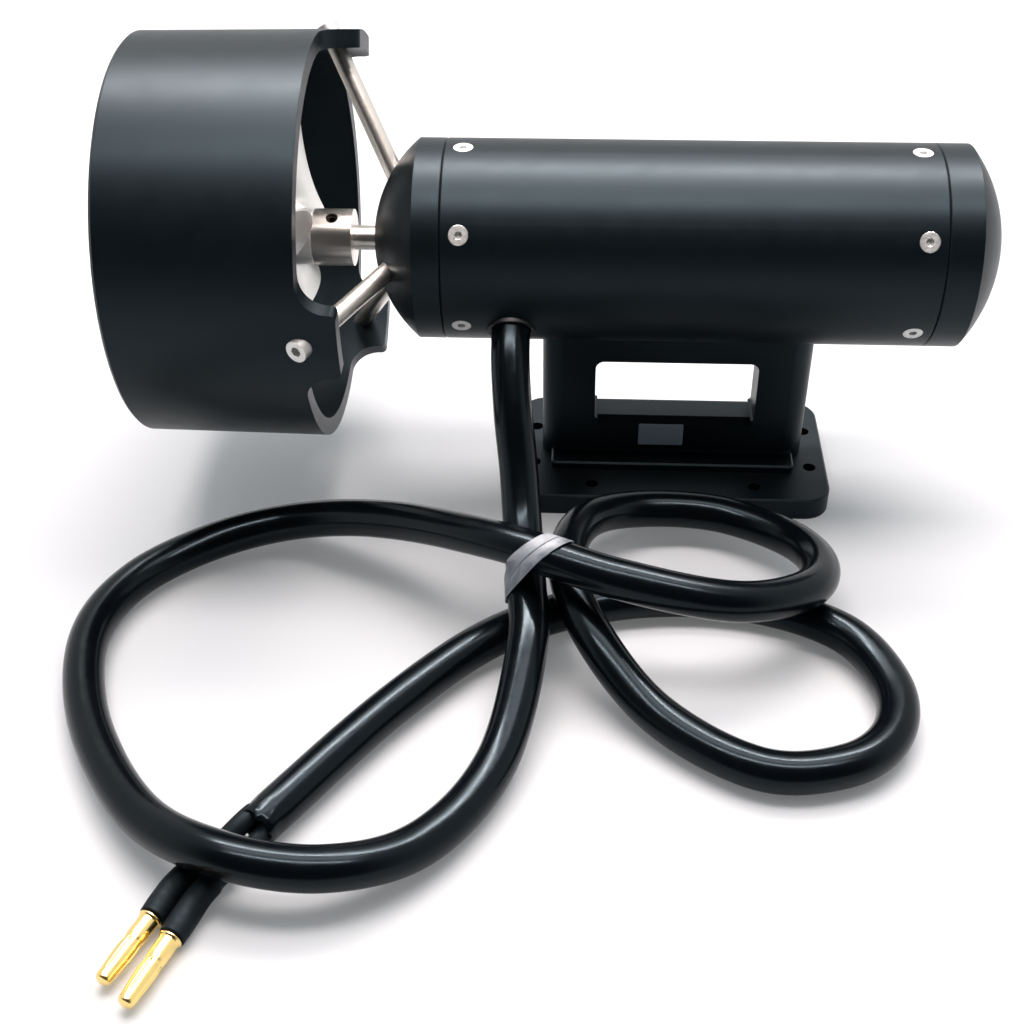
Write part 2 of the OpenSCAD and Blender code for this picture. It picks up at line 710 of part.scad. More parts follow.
// The two leads run beside the can from the cable's inner end to the rear bell
module motor_leads() color("#8f2a24") for (s = [-1, 1])
    radial(bush_angle + s * lead_turn, bush_x) translate([0, 0, lead_r]) rotate([0, 90, 0])
        cylinder(h = bell_x - bush_x + rear_bell_t / 2, r = motor_lead_d / 2);

// Frame of strut k: Z runs out along the rod from the dome's surface
module strut_place(k) radial(strut_angle + k * strut_step, strut_cap_x)
    translate([0, 0, strut_cap_r]) rotate([0, -strut_tilt, 0]) children();

// Rod with a tapped hole in its outer end
module strut(k) color(steel) strut_place(k) difference() {
    translate([0, 0, -strut_seat]) cylinder(h = strut_seat + strut_end, r = strut_d / 2);
    translate([0, 0, strut_head - strut_screw_len - over])
        cylinder(h = strut_screw_len, r = strut_screw_d / 2 + fit_gap);
}

module strut_front() strut(0);

module strut_top() strut(1);

module strut_back() for (k = [2 : strut_count - 1]) strut(k);

module strut_screws() color(steel) for (k = [0 : strut_count - 1])
    strut_place(k) translate([0, 0, strut_head]) cap_screw(strut_screw_d, strut_screw_len);

// Flat outline of a lug, with hollow corners at its root and round outer corners
module lug_outline() {
    translate([-over, 0]) difference() {
        translate([0, -lug_w / 2]) square([lug_len + over, lug_w]);
        for (s = [-1, 1]) translate([lug_len + over, s * lug_w / 2]) scale([-1, -s])
            hollow_corner(lug_corner);
    }
    for (s = [-1, 1]) translate([0, s * lug_w / 2]) scale([1, s]) hollow_corner(lug_fillet);
}

// Nozzle ring whose inlet rim carries the lugs, cut from one turned tube
module nozzle() color(anodised) difference() {
    intersection() {
        turned([
            [nozzle_r, outlet_x], [nozzle_out_r - nozzle_taper - outlet_bevel, outlet_x],
            [nozzle_out_r - nozzle_taper, outlet_x + outlet_bevel], [nozzle_out_r, inlet_x],
            [nozzle_out_r, lug_x + over], [nozzle_r, lug_x + over]
        ]);
        union() {
            ring(outlet_x - over, inlet_x, nozzle_out_r + over);
            for (k = [0 : strut_count - 1]) radial(strut_angle + k * strut_step, inlet_x)
                translate([0, 0, nozzle_r / 2]) linear_extrude(nozzle_out_r) lug_outline();
        }
    }
    for (k = [0 : strut_count - 1]) strut_place(k) {
        translate([0, 0, strut_span / 2])
            cylinder(h = strut_end + fit_gap - strut_span / 2, r = strut_d / 2 + fit_gap);
        translate([0, 0, strut_span]) cylinder(h = nozzle_wall * 3, r = strut_screw_d / 2 + fit_gap);
        translate([0, 0, strut_head])
            cylinder(h = nozzle_wall * 3, r = strut_screw_d * cap_head_ratio / 2 + clear_gap);
    }
}

// Outline of the web in plan, with full round ends
module web_outline() {
    square([2 * web_end, web_t], center = true);
    for (s = [-1, 1]) translate([s * web_end, 0]) circle(r = web_t / 2);
}

// Hollow blend between the web and the foot, all round the web as far as the foot reaches
module foot_blend() translate([0, 0, foot_z]) intersection() {
    union() {
        for (s = [-1, 1]) translate([-s * web_end, s * web_t / 2, 0]) rotate([90, 0, s * 90])
            linear_extrude(2 * web_end) hollow_corner(foot_fillet);
        for (s = [-1, 1]) translate([s * web_end, 0, 0]) rotate([0, 0, -s * 90])
            rotate_extrude(angle = 180) translate([web_t / 2, 0]) hollow_corner(foot_fillet);
    }
    linear_extrude(foot_fillet) round_rect(foot_w - 2 * plate_bevel, foot_d, foot_r);
}

// Window with round upper corners and nearly sharp lower ones
module window_outline() difference() {
    square([window_w, window_h], center = true);
    for (sx = [-1, 1]) {
        translate([sx * window_w / 2, window_h / 2]) scale([-sx, -1]) hollow_corner(window_r);
        translate([sx * window_w / 2, -window_h / 2]) scale([-sx, 1]) hollow_corner(sill_r);
    }
}

module pedestal() color(anodised) difference() {
    union() {
        translate([0, 0, plate_t]) linear_extrude(axis_h - bore_r - plate_t) web_outline();
        translate([0, 0, plate_t]) bevelled_slab(foot_w, foot_d, foot_h, foot_r, plate_bevel);
        foot_blend();
    }
    ring(-pedestal_w, pedestal_w, saddle_r);
    translate([0, 0, window_z + window_h / 2]) rotate([90, 0, 0])
        linear_extrude(2 * web_t, center = true) window_outline();
    sill_cut = sill_bevel * sqrt(2);
    for (s = [-1, 1]) translate([0, s * web_t / 2, window_z]) rotate([45, 0, 0])
        cube([window_w - 2 * sill_r, sill_cut, sill_cut], center = true);
    saddle_screw_places() flat_screw_hole(foot_screw_d, foot_head_d, foot_screw_len + over);
    foot_screw_places() flat_screw_hole(foot_screw_d, foot_head_d, foot_screw_len + over);
}

// Mounting holes of the plate: one rectangle near the ends, one near the long sides
module mount_holes()
    for (g = [[end_hole_x, end_hole_y], [side_hole_x, side_hole_y]], sx = [-1, 1], sy = [-1, 1])
        translate([sx * g[0] / 2, sy * g[1] / 2, -over])
            cylinder(h = plate_t + 2 * over, r = mount_hole_d / 2);

module base_plate() color(anodised) difference() {
    bevelled_slab(plate_w, plate_d, plate_t, plate_r, plate_bevel);
    mount_holes();
    foot_screw_places() flat_screw_hole(foot_screw_d, foot_head_d, foot_screw_len);
}

// Screws up through the plate into the pedestal, heads flush with the mounting face
module foot_screw_places() for (x = [-column_x, -foot_screw_x / 2, foot_screw_x / 2, column_x])
    translate([x, 0, head_sink]) rotate([180, 0, 0]) children();

// Screws down through the housing wall into the pedestal's columns
module saddle_screw_places() for (s = [-1, 1])
    radial(-90, s * column_x) translate([0, 0, bore_r + head_sink]) rotate([180, 0, 0]) children();

module foot_screws() color(steel)
    foot_screw_places() flat_screw(foot_screw_d, foot_head_d, foot_screw_len);

module saddle_screws() color(steel)
    saddle_screw_places() flat_screw(foot_screw_d, foot_head_d, foot_screw_len);

// Rubber bush through the housing wall, with a low lip that follows the tube outside
module cable_bush() color(rubber_black) difference() {
    radial(bush_angle, bush_x) translate([0, 0, bore_r + 2 * fit_gap])
        cylinder(h = housing_wall + bush_lip, r = bush_r);
    radial(bush_angle, bush_x) cylinder(h = housing_d, r = bush_bore);
}

module supply_cable() color(rubber_black) tube(smooth(cable_route), cable_r, 10);

module cable_tie() color("#d8dce0") translate(tie_centre)
    rotate([90 + tie_lean, 0, tie_heading]) linear_extrude(tie_w, center = true) difference() {
        tie_loop(tie_t);
        tie_loop(0);
    }

// Loop round the three strands, grown outwards by a thickness
module tie_loop(grown) hull() for (s = tie_strands, e = [-1, 1])
    translate([s[0] + e * s[2] * cos(s[3]), s[1] + e * s[2] * sin(s[3])])
        circle(r = cable_r + 2 * cable_gap + grown, $fn = 32);

module lead_sleeves() color(rubber_black) for (p = lead_routes) tube(smooth(p), sleeve_d / 2, 8);

// Bullet plugs: a collar, a slotted spring belly and a bevelled tip
module bullet_plugs() color(brass_gold) for (p = lead_routes) {
    heading = flat(p[3] - p[2]);
    collar = sleeve_d / 2 - clear_gap;
    belly = plug_d / 2;
    neck = belly * plug_neck_ratio;
    slit_x = plug_len / 4;
    translate(p[3]) rotate([0, 90, atan2(heading[1], heading[0])]) difference() {
        rotate_extrude() polygon([
            [0, cable_gap], [collar, cable_gap], [collar, cable_gap + plug_collar],
            [neck, cable_gap + plug_collar + collar - neck], [neck, plug_len / 5],
            [belly, plug_len * 2 / 5], [belly, plug_len * 3 / 5], [neck, plug_len - belly],
            [neck, plug_len - neck / 2], [neck / 2, plug_len], [0, plug_len]
        ]);
        for (a = [0, 90]) rotate([0, 0, a]) translate([-plug_d, -plug_slit / 2, slit_x])
            cube([2 * plug_d, plug_slit, plug_len - plug_d - slit_x]);
    }
}

module drive_shaft() color(steel) ring(shaft_front_x, shaft_rear_x, shaft_r);

module hub_collar() color(steel) difference() {
    ring(collar_x, collar_x + collar_len, collar_r, shaft_r + fit_gap);
    set_screw_place() cylinder(h = collar_d, r = set_screw_d / 2 + fit_gap);
}

// Place of the set screw, half way along the collar
module set_screw_place() radial(set_screw_angle, collar_x + collar_len / 2) children();

module set_screw() color("#3b3c3e") set_screw_place() difference() {
    top = collar_r - set_screw_sink;
    translate([0, 0, shaft_r + fit_gap]) cylinder(h = top - shaft_r - fit_gap, r = set_screw_d / 2);
    translate([0, 0, top - set_screw_d * socket_depth_ratio])
        cylinder(h = set_screw_d, r = set_screw_d * set_socket_ratio / 2, $fn = 6);
}

// Blade chord and thickness at a share s of the way from the boss to the tip
function chord_at(s) = let (
        tip = max(0, (s + tip_share - 1) / tip_share),
        swell = sin(90 * min(1, s / blade_full_share)),
        full = blade_root_chord + (blade_max_chord - blade_root_chord) * swell
    ) full * sqrt(1 - tip_loss_ratio * tip * tip);
function thickness_at(s) = blade_root_t + (blade_tip_t - blade_root_t) * s;

// Point of a blade section at radius r: u runs from -1 to 1 along the chord, face is 1 on the
// cambered back and -1 on the flatter front, and the section is wrapped on the cylinder of radius r
function blade_point(r, s, u, face) = let (
        pitch = blade_tip_pitch + (blade_pitch - blade_tip_pitch) * pow(1 - s, 2),
        pitch_angle = atan(pitch / (2 * PI * r)),
        c = u * chord_at(s) / 2,
        n = (face > 0 ? camber_share : camber_share - 1) * thickness_at(s) * (1 - edge_thin_ratio * u * u),
        turn = (c * cos(pitch_angle) - n * sin(pitch_angle)) / r * 180 / PI
    ) [c * sin(pitch_angle) + n * cos(pitch_angle), -r * cos(turn), r * sin(turn)];

// Blade lofted through sections from inside the boss to the tip
module blade() {
    section_count = 12;
    half_count = 9;
    ring_count = 2 * half_count + 2;
    points = [
        for (i = [0 : section_count], k = [0 : ring_count - 1]) let (
            s = i / section_count,
            r = blade_root_r + (prop_d / 2 - blade_root_r) * s,
            back = k <= half_count,
            u = back ? -1 + 2 * k / half_count : 1 - 2 * (k - half_count - 1) / half_count
        ) blade_point(r, s, u, back ? 1 : -1)
    ];
    walls = [
        for (i = [0 : section_count - 1], k = [0 : ring_count - 1])
            let (a = i * ring_count, b = a + ring_count, n = (k + 1) % ring_count)
                each [[a + k, b + k, b + n], [a + k, b + n, a + n]]
    ];
    root = [
        for (k = [0 : half_count - 1]) let (o = ring_count - 1 - k)
            each [[k, k + 1, o], [k + 1, o - 1, o]]
    ];
    tip_start = section_count * ring_count;
    tip = [
        for (k = [0 : half_count - 1]) let (e = tip_start + k, o = tip_start + ring_count - 1 - k)
            each [[e, o, e + 1], [e + 1, o, o - 1]]
    ];
    polyhedron(points, concat(walls, root, tip), convexity = 6);
}

module propeller() color(alloy) difference() {
    union() {
        ring(boss_x, boss_x + boss_len, boss_r);
        for (i = [0 : blade_count - 1]) translate([blade_x, 0, axis_h])
            rotate([-blade_angle - i * 360 / blade_count, 0, 0]) blade();
    }
    ring(boss_x - over, boss_x + boss_len + over, shaft_r + fit_gap);
}

module prop_washer() color(steel) ring(washer_x, boss_x, washer_d / 2, shaft_r + fit_gap);

module prop_nut() color(steel) difference() {
    along_x() translate([0, 0, nut_x]) cylinder(h = nut_h, r = nut_af / sqrt(3), $fn = 6);
    ring(nut_x - over, washer_x + over, shaft_r + fit_gap);
}

// Places children at each armature slot, with Z along the shaft and X outwards
module slot_places() for (i = [0 : slot_count - 1]) rotate([0, 0, i * 360 / slot_count]) children();

module armature_core() color("#6d6f70") along_x() translate([0, 0, core_x]) difference() {
    cylinder(h = core_len, r = core_r);
    translate([0, 0, -over]) cylinder(h = core_len + 2 * over, r = shaft_r + fit_gap);
    slot_places() translate([hub_r, -slot_w / 2, -over])
        cube([slot_depth + over, slot_w, core_len + 2 * over]);
}

// Slot bars joined by the coil heads at both ends of the core
module armature_windings() color(copper) along_x() {
    for (z = [core_x - coil_head, core_end + fit_gap]) translate([0, 0, z]) difference() {
        cylinder(h = coil_head - fit_gap, r = coil_r);
        translate([0, 0, -over]) cylinder(h = coil_head + 2 * over, r = shaft_r + fit_gap);
    }
    slot_places() translate([hub_r + 2 * fit_gap, -slot_w / 2 + 2 * fit_gap, core_x - coil_head / 2])
        cube([coil_r - hub_r - 4 * fit_gap, slot_w - 4 * fit_gap, core_len + coil_head]);
}

// Copper drum cut into bars
module commutator() color(copper) along_x() translate([0, 0, commutator_x]) difference() {
    cylinder(h = commutator_len, r = commutator_r);
    translate([0, 0, -over]) cylinder(h = commutator_len + 2 * over, r = shaft_r + fit_gap);
    slot_places() translate([commutator_r - bar_depth, -bar_slit / 2, -over])
        cube([bar_depth + over, bar_slit, commutator_len + 2 * over]);
}

motor_housing();
front_cap();
rear_cap();
front_cap_screws();
rear_cap_screws();
front_o_rings();
rear_o_rings();
shaft_seals();
front_bearing();
rear_bearing();
motor_front_plate();
motor_screws();
motor_can();
motor_rear_bell();
field_magnets();
brush_holders();
carbon_brushes();
motor_leads();
strut_front();
strut_top();
strut_back();
nozzle();
strut_screws();
pedestal();
base_plate();
foot_screws();
saddle_screws();
cable_bush();
supply_cable();
cable_tie();
lead_sleeves();
bullet_plugs();
drive_shaft();
hub_collar();
set_screw();
propeller();
prop_washer();
prop_nut();
armature_core();
armature_windings();
commutator();
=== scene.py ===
"""Finishes for a packed underwater thruster: metals, cable, plugs, tie and a plain white studio."""

import json
import math

import bmesh
import bpy
import numpy as np
from mathutils import Matrix, Vector


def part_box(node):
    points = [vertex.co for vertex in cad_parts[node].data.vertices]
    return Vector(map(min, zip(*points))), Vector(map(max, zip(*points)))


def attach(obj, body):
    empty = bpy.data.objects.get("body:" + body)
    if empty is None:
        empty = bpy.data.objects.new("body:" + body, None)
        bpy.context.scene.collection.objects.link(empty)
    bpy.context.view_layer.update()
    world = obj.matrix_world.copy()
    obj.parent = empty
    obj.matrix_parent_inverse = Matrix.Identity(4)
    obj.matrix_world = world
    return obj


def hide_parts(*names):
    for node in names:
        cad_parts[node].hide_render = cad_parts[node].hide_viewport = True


bl_info = {
    "name": "Underwater Thruster Finishes",
    "version": (1, 0, 0),
    "blender": (4, 5, 0),
    "location": "View3D > Sidebar > Thruster",
    "description": "Dresses the packed thruster and sets up its studio",
    "category": "Object",
}

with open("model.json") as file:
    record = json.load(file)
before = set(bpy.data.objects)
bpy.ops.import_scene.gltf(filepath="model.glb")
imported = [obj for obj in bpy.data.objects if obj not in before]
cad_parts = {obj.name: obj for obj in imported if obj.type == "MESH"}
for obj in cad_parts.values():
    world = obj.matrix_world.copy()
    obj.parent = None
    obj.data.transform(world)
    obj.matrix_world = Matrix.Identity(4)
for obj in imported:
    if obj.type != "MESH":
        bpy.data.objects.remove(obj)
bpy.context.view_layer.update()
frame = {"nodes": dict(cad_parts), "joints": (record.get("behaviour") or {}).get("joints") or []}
NODES = frame["nodes"]
MM = 0.001
UP = np.array([0.0, 0.0, 1.0])
ALONG = np.array([1.0, 0.0, 0.0])
AXIS_Z = frame["joints"][0]["pos_m"][2]

# The cable's route in millimetres, from the bush in the housing to the end of its jacket
CABLE_ROUTE = np.array([
    [-56, -23.2, 75.3], [-56, -34.6, 67.2], [-54.7, -46.6, 55.6], [-52.4, -58.6, 41.3],
    [-50.6, -72.4, 29.4], [-48.6, -91.4, 21.3], [-47.3, -114.9, 16.7], [-54.5, -152.7, 7.7],
    [-72.3, -181.7, 7.6], [-96.3, -195.9, 13.3], [-124.6, -193.9, 15.2], [-151.8, -175.9, 9.6],
    [-175.4, -141.1, 6.5], [-185.2, -105.9, 6.5], [-177.4, -78.4, 6.5], [-154.3, -58.3, 7.5],
    [-125.3, -52.1, 11.9], [-92.8, -64.1, 22.6], [-54.9, -89.4, 35.4], [-21.3, -104.5, 35.4],
    [13.7, -105.8, 28.6], [36.9, -92.8, 21.9], [44.4, -74.7, 16.3], [37.4, -56.3, 12.2],
    [14.7, -42, 10.7], [-12, -42.2, 12.2], [-30.1, -55, 16.9], [-36.2, -79.4, 20.4],
    [-29.1, -106.8, 17.5], [-9, -132.2, 7.8], [19.6, -151.3, 6.5], [44.9, -149.2, 6.5],
    [59.5, -136.4, 6.5], [62.2, -116.7, 6.5], [49.8, -94.1, 6.5], [18.8, -81.4, 6.5],
    [-19.8, -82.9, 6.5], [-55.6, -98.6, 6.5], [-86.5, -130.9, 6.5], [-118.8, -177.9, 6.5],
]) * MM
CABLE_SPAN_POINTS = 40
CABLE_STEP = 2 * MM

# The two leads in millimetres, from inside the end of the jacket to the plugs
LEAD_ROUTES = np.array([
    [[-119.8, -174.2, 8.2], [-122.6, -177.9, 7.9], [-128.6, -184.3, 4.9], [-136, -193.8, 4.1],
     [-141, -206, 3.9]],
    [[-115.4, -176.4, 5.6], [-117.2, -180.2, 4.6], [-121.9, -186.9, 4.1], [-129.2, -197.6, 4.1],
     [-134.4, -211.8, 3.9]],
]) * MM

# The tie's centre in millimetres, the heading of its plane and the plane's lean towards the front
TIE_CENTRE = np.array([-43.3, -87.7, 27.1]) * MM
TIE_HEADING = math.radians(40)
TIE_LEAN = math.radians(28)

# Middle of the bare plate's back
PLATE_CENTRE = np.array([-4.3, -7.0, 18.3]) * MM
BLADE_COUNT = 3
FIRST_BLADE = math.radians(118)
BORE_ROOM = 0.05 * MM

# Floor: half its width, its height, where it turns plain white, and its own glow before that
FLOOR_HALF = 3.0
FLOOR_Z = -0.05 * MM
FLOOR_WHITE_FROM, FLOOR_WHITE_AT = 0.35, 0.9
FLOOR_GLOW = 0.12

# Lamps: name, lean to the back in degrees, distance, width, its power and the share of it that it
# takes, and whether it lights surfaces or only shows in reflections
LAMPS = (
    ("strip_over", 6, 1.15, 0.3, "strip_power", 1.0, True),
    ("strip_back", 31, 1.15, 0.3, "strip_power", 1.0, True),
    ("sheen_back", 25, 1.1, 0.06, "sheen_power", 1.0, False),
    ("sheen_front", -14, 1.1, 0.06, "sheen_power", 0.55, False),
)
LAMP_AIM = Vector((-0.03, -0.05, 0.06))
LAMP_LENGTH = 1.15
LAMP_COLOUR = (1.0, 0.91, 0.89)

# The dim room is a cone about this direction; the cosines say where it begins and is darkest
ROOM_DIRECTION = (0.0, -0.85, 0.53)
ROOM_FROM, ROOM_AT = 0.3, 0.75
COOL_LIGHT = (0.9, 0.96, 1.0, 1)
WHITE = (1, 1, 1, 1)

# How a pattern is stretched: not at all, into rings round X, or into lines along X
EVEN = (1, 1, 1)
RINGS = (1, 0.02, 0.02)
LINES = (0.05, 1, 1)
LONG_LINES = (0.1, 1, 1)


def linear(hex_colour):
    """An sRGB hex colour as linear red, green and blue."""
    srgb = np.array([int(hex_colour[i:i + 2], 16) for i in (1, 3, 5)]) / 255
    rgb = np.where(srgb <= 0.04045, srgb / 12.92, ((srgb + 0.055) / 1.055) ** 2.4)
    return tuple(float(c) for c in rgb)


def colour(name, words, hex_colour):
    """A colour property with a default given as sRGB hex."""
    return bpy.props.FloatVectorProperty(
        name=name, description=words, subtype="COLOR", size=3, min=0, max=1,
        default=linear(hex_colour))


def length(name, words, millimetres):
    """A length property with a default given in millimetres."""
    return bpy.props.FloatProperty(
        name=name, description=words, unit="LENGTH", min=0, precision=5, default=millimetres * MM)


def number(name, words, value, **kind):
    """A number property. Kind gives its unit or subtype, and its limits if it has any."""
    return bpy.props.FloatProperty(name=name, description=words, default=value, **kind)


class ThrusterColours(bpy.types.PropertyGroup):
    """Colours of the finishes"""
    anodised: colour("Anodised", "Black dye of the anodised pieces", "#081116")
    anodised_deep: colour("Anodised, deep", "Darker patches of the dye", "#070d11")
    anodised_worn: colour("Anodised, worn", "Edges where the dye is rubbed", "#2c343b")
    anodised_sheen: colour(
        "Anodised, sheen", "Tint of the light that the dyed oxide reflects", "#c6e4f2")
    steel: colour("Stainless", "Turned stainless steel", "#d8d3cc")
    screw: colour("Screws", "Tumbled stainless screws", "#d2d2d0")
    alloy: colour("Propeller alloy", "Satin machined propeller alloy", "#ecebe8")
    jacket: colour("Cable jacket", "Soft rubber of the cable", "#070b0f")
    jacket_sheen: colour("Cable, sheen", "Tint of the light that the rubber reflects", "#c6e0ec")
    sleeve: colour("Sleeve", "Heat-shrink sleeves on the leads", "#090e12")
    tie: colour("Tie", "Frosted plastic of the tie", "#dfe3e8")
    # Painted shade: the tie's shaded tone, drawn as streaks along the strip
    tie_painted_shade: colour("Tie, shade", "Clearer streaks in the tie", "#8f98a2")
    gold: colour("Gold plate", "Gold plate of the plugs", "#f2d58a")
    plate: colour("Bare plate", "Bare plate on the pedestal", "#8b98a8")
    floor: colour("Floor", "Studio floor", "#f6f7f9")


class ThrusterSizes(bpy.types.PropertyGroup):
    """Sizes of the pieces that are made here"""
    cable_d: length("Cable", "Diameter of the supply cable", 12.5)
    sleeve_d: length("Sleeve", "Diameter of the lead sleeves", 6.6)
    plug_d: length("Plug", "Diameter of a plug's belly", 5)
    plug_len: length("Plug length", "Free length of a plug", 21)
    tie_w: length("Tie width", "Width of one turn of the tie", 3.4)
    tie_t: length("Tie thickness", "Thickness of the tie", 0.5)
    prop_d: length("Propeller", "Diameter of the propeller over its blade tips", 116)
    boss_d: length("Boss", "Diameter of the propeller boss", 18)
    boss_len: length("Boss length", "Length of the propeller boss", 24)
    blade_pitch: length("Root pitch", "Advance of the blades' roots in one turn", 100)
    blade_tip_pitch: length("Tip pitch", "Advance of the blades' tips in one turn", 35)
    shaft_d: length("Shaft", "Diameter of the drive shaft", 8)
    thread_pitch: length("Thread", "Pitch of the thread on the shaft's end", 1.25)
    nut_af: length("Nut", "Width across the flats of the propeller nut", 13)
    plate_w: length("Plate width", "Width of the bare plate", 15.8)
    plate_h: length("Plate height", "Height of the bare plate", 8.8)
    plate_t: length("Plate thickness", "Thickness of the bare plate", 0.4)


class ThrusterStudio(bpy.types.PropertyGroup):
    """Camera and lamps"""
    eye: bpy.props.FloatVectorProperty(
        name="Camera", description="Place of the camera", subtype="TRANSLATION", unit="LENGTH",
        default=(-0.0331, -0.4249, 0.3183))
    pitch: number(
        "Pitch", "Angle by which the camera looks down", math.radians(38.85), subtype="ANGLE")
    yaw: number("Yaw", "Turn of the camera to the right", math.radians(-3.37), subtype="ANGLE")
    roll: number("Roll", "Tilt of the camera", math.radians(0.78), subtype="ANGLE")
    lens: number("Lens", "Focal length on a 36 mm sensor", 50.46, unit="CAMERA")
    strip_power: number("Strip lamps", "Power of each overhead strip lamp", 9, unit="POWER")
    sheen_power: number(
        "Sheen strips", "Power of the stronger strip that only reflections show", 27, unit="POWER")
    backdrop: number(
        "Backdrop", "Brightness of the light from the white backdrop", 0.95, subtype="FACTOR",
        min=0, max=1)
    room: number(
        "Room", "Brightness of the dim room behind the camera", 0.06, subtype="FACTOR",
        min=0, max=1)


def add(tree, kind, links=None, **settings):
    """Adds a node. Settings are its own properties; links maps its inputs to sockets or values."""
    node = tree.nodes.new(kind)
    for key, value in settings.items():
        setattr(node, key, value)
    for key, value in (links or {}).items():
        if isinstance(value, bpy.types.NodeSocket):
            tree.links.new(value, node.inputs[key])
        else:
            node.inputs[key].default_value = value
    return node


def new_material(name, **sockets):
    """A material with its Principled shader. The sockets are values set on the shader."""
    material = bpy.data.materials.new(name)
    material.use_nodes = True
    tree = material.node_tree
    shader = tree.nodes["Principled BSDF"]
    for key, value in sockets.items():
        shader.inputs[key.replace("_", " ")].default_value = value
    return material, tree, shader


def per_metre(millimetres):
    """Pattern scale for a feature of that size on coordinates in metres."""
    return 1 / (millimetres * MM)


def rgba(rgb):
    """A colour property as red, green, blue and alpha."""
    return (*rgb, 1)


def patterned(name, patterns, roughness, relief=None, spread=(0.3, 0.7), tones=None,
              tone_spread=(0, 1), uv_map="", edge_mm=0, worn=None, **sockets):
    """A material whose relief, tone and roughness follow noise.

    A pattern is the size of its features in mm, its detail and its stretch. The first one makes the
    relief (its strength and its depth in mm), the middle one the tone between two colours and the
    last one the roughness. They lie on Object coordinates, or on a UV map in metres if one is
    named. Edges are rounded over by the edge's radius, and there the worn colour comes through.
    """
    material, tree, shader = new_material(name, **sockets)
    if uv_map:
        place = add(tree, "ShaderNodeUVMap", uv_map=uv_map).outputs["UV"]
    else:
        place = add(tree, "ShaderNodeTexCoord").outputs["Object"]
    noises = []
    for size, detail, stretch in patterns:
        drawn = add(tree, "ShaderNodeMapping", {"Vector": place, "Scale": stretch})
        noise = add(tree, "ShaderNodeTexNoise", {
            "Vector": drawn.outputs["Vector"], "Scale": per_metre(size), "Detail": detail})
        noises.append(noise.outputs["Fac"])
    sheen = add(tree, "ShaderNodeMapRange", {
        "Value": noises[-1], "From Min": spread[0], "From Max": spread[1],
        "To Min": roughness[0], "To Max": roughness[1]})
    tree.links.new(sheen.outputs["Result"], shader.inputs["Roughness"])
    if relief:
        bump = add(tree, "ShaderNodeBump", {
            "Height": noises[0], "Strength": relief[0], "Distance": relief[1] * MM})
        tree.links.new(bump.outputs["Normal"], shader.inputs["Normal"])
    if edge_mm:
        edge = add(tree, "ShaderNodeBevel", {"Radius": edge_mm * MM}, samples=4).outputs["Normal"]
        tree.links.new(edge, bump.inputs["Normal"])
    if tones:
        share = add(tree, "ShaderNodeMapRange", {
            "Value": noises[len(noises) // 2], "From Min": tone_spread[0],
            "From Max": tone_spread[1]})
        tone = add(tree, "ShaderNodeMix", {
            0: share.outputs["Result"], 6: rgba(tones[0]), 7: rgba(tones[1])}, data_type="RGBA")
        tree.links.new(tone.outputs[2], shader.inputs["Base Color"])
    if worn is not None:
        flat = add(tree, "ShaderNodeNewGeometry").outputs["Normal"]
        turn = add(tree, "ShaderNodeVectorMath", {0: edge, 1: flat}, operation="DOT_PRODUCT")
        rub = add(tree, "ShaderNodeMapRange", {
            "Value": turn.outputs["Value"], "From Min": 0.98, "From Max": 0.75,
            "To Min": 0.0, "To Max": 0.35})
        rubbed = add(tree, "ShaderNodeMix", {
            0: rub.outputs["Result"], 6: tone.outputs[2], 7: rgba(worn)}, data_type="RGBA")
        tree.links.new(rubbed.outputs[2], shader.inputs["Base Color"])
    return material


def anodised_aluminium(colours):
    """Black anodised aluminium, bead blasted first: a deep blue-black dye with a soft satin sheen.

    The eye sees a fine even grain, slow drifts in the dye, and edges that are rounded over and a
    little rubbed. The real grain is about 0.05 mm; it is drawn at 0.5 mm so that it shows.
    """
    return patterned(
        "black_anodised_aluminium", [(0.5, 2, EVEN), (22, 3, EVEN), (7, 5, EVEN)], (0.37, 0.42),
        (0.08, 0.05), tones=(colours.anodised_deep, colours.anodised), edge_mm=0.3,
        worn=colours.anodised_worn, IOR=1.5, Specular_IOR_Level=0.25,
        Specular_Tint=rgba(colours.anodised_sheen))


def turned_stainless(colours):
    """Stainless bar turned on a lathe: warm grey, with fine rings that smear light lengthwise.

    The rings run round X. They are the tool's feed, about 0.1 mm, drawn at a millimetre to show.
    """
    material = patterned(
        "turned_stainless", [(1, 0, RINGS)], (0.29, 0.33), (0.01, 0.01), spread=(0.2, 0.8),
        Metallic=1.0, Base_Color=rgba(colours.steel), Anisotropic=0.6, Anisotropic_Rotation=0.25)
    tree = material.node_tree
    tangent = add(tree, "ShaderNodeTangent", direction_type="RADIAL", axis="X")
    tree.links.new(tangent.outputs["Tangent"], tree.nodes["Principled BSDF"].inputs["Tangent"])
    return material


def ground_rod(colours):
    """Centreless ground stainless rod: smooth and bright, with a soft grain of a millimetre."""
    return patterned(
        "ground_stainless_rod", [(1.2, 3, EVEN)], (0.3, 0.36), (0.03, 0.01),
        Metallic=1.0, Base_Color=rgba(colours.steel))


def tumbled_stainless(colours):
    """Stainless screws, cold headed and tumbled: soft silver, small dents and rounded edges."""
    return patterned(
        "tumbled_stainless", [(0.9, 3, EVEN)], (0.4, 0.55), (0.15, 0.04), edge_mm=0.25,
        Metallic=1.0, Base_Color=rgba(colours.screw))


def satin_alloy(colours):
    """Propeller alloy, machined and fine blasted: pale silver, dull, with faint cutter marks."""
    return patterned(
        "satin_propeller_alloy", [(0.8, 2, LINES), (5, 4, EVEN)], (0.46, 0.56), (0.08, 0.04),
        Metallic=1.0, Base_Color=rgba(colours.alloy))


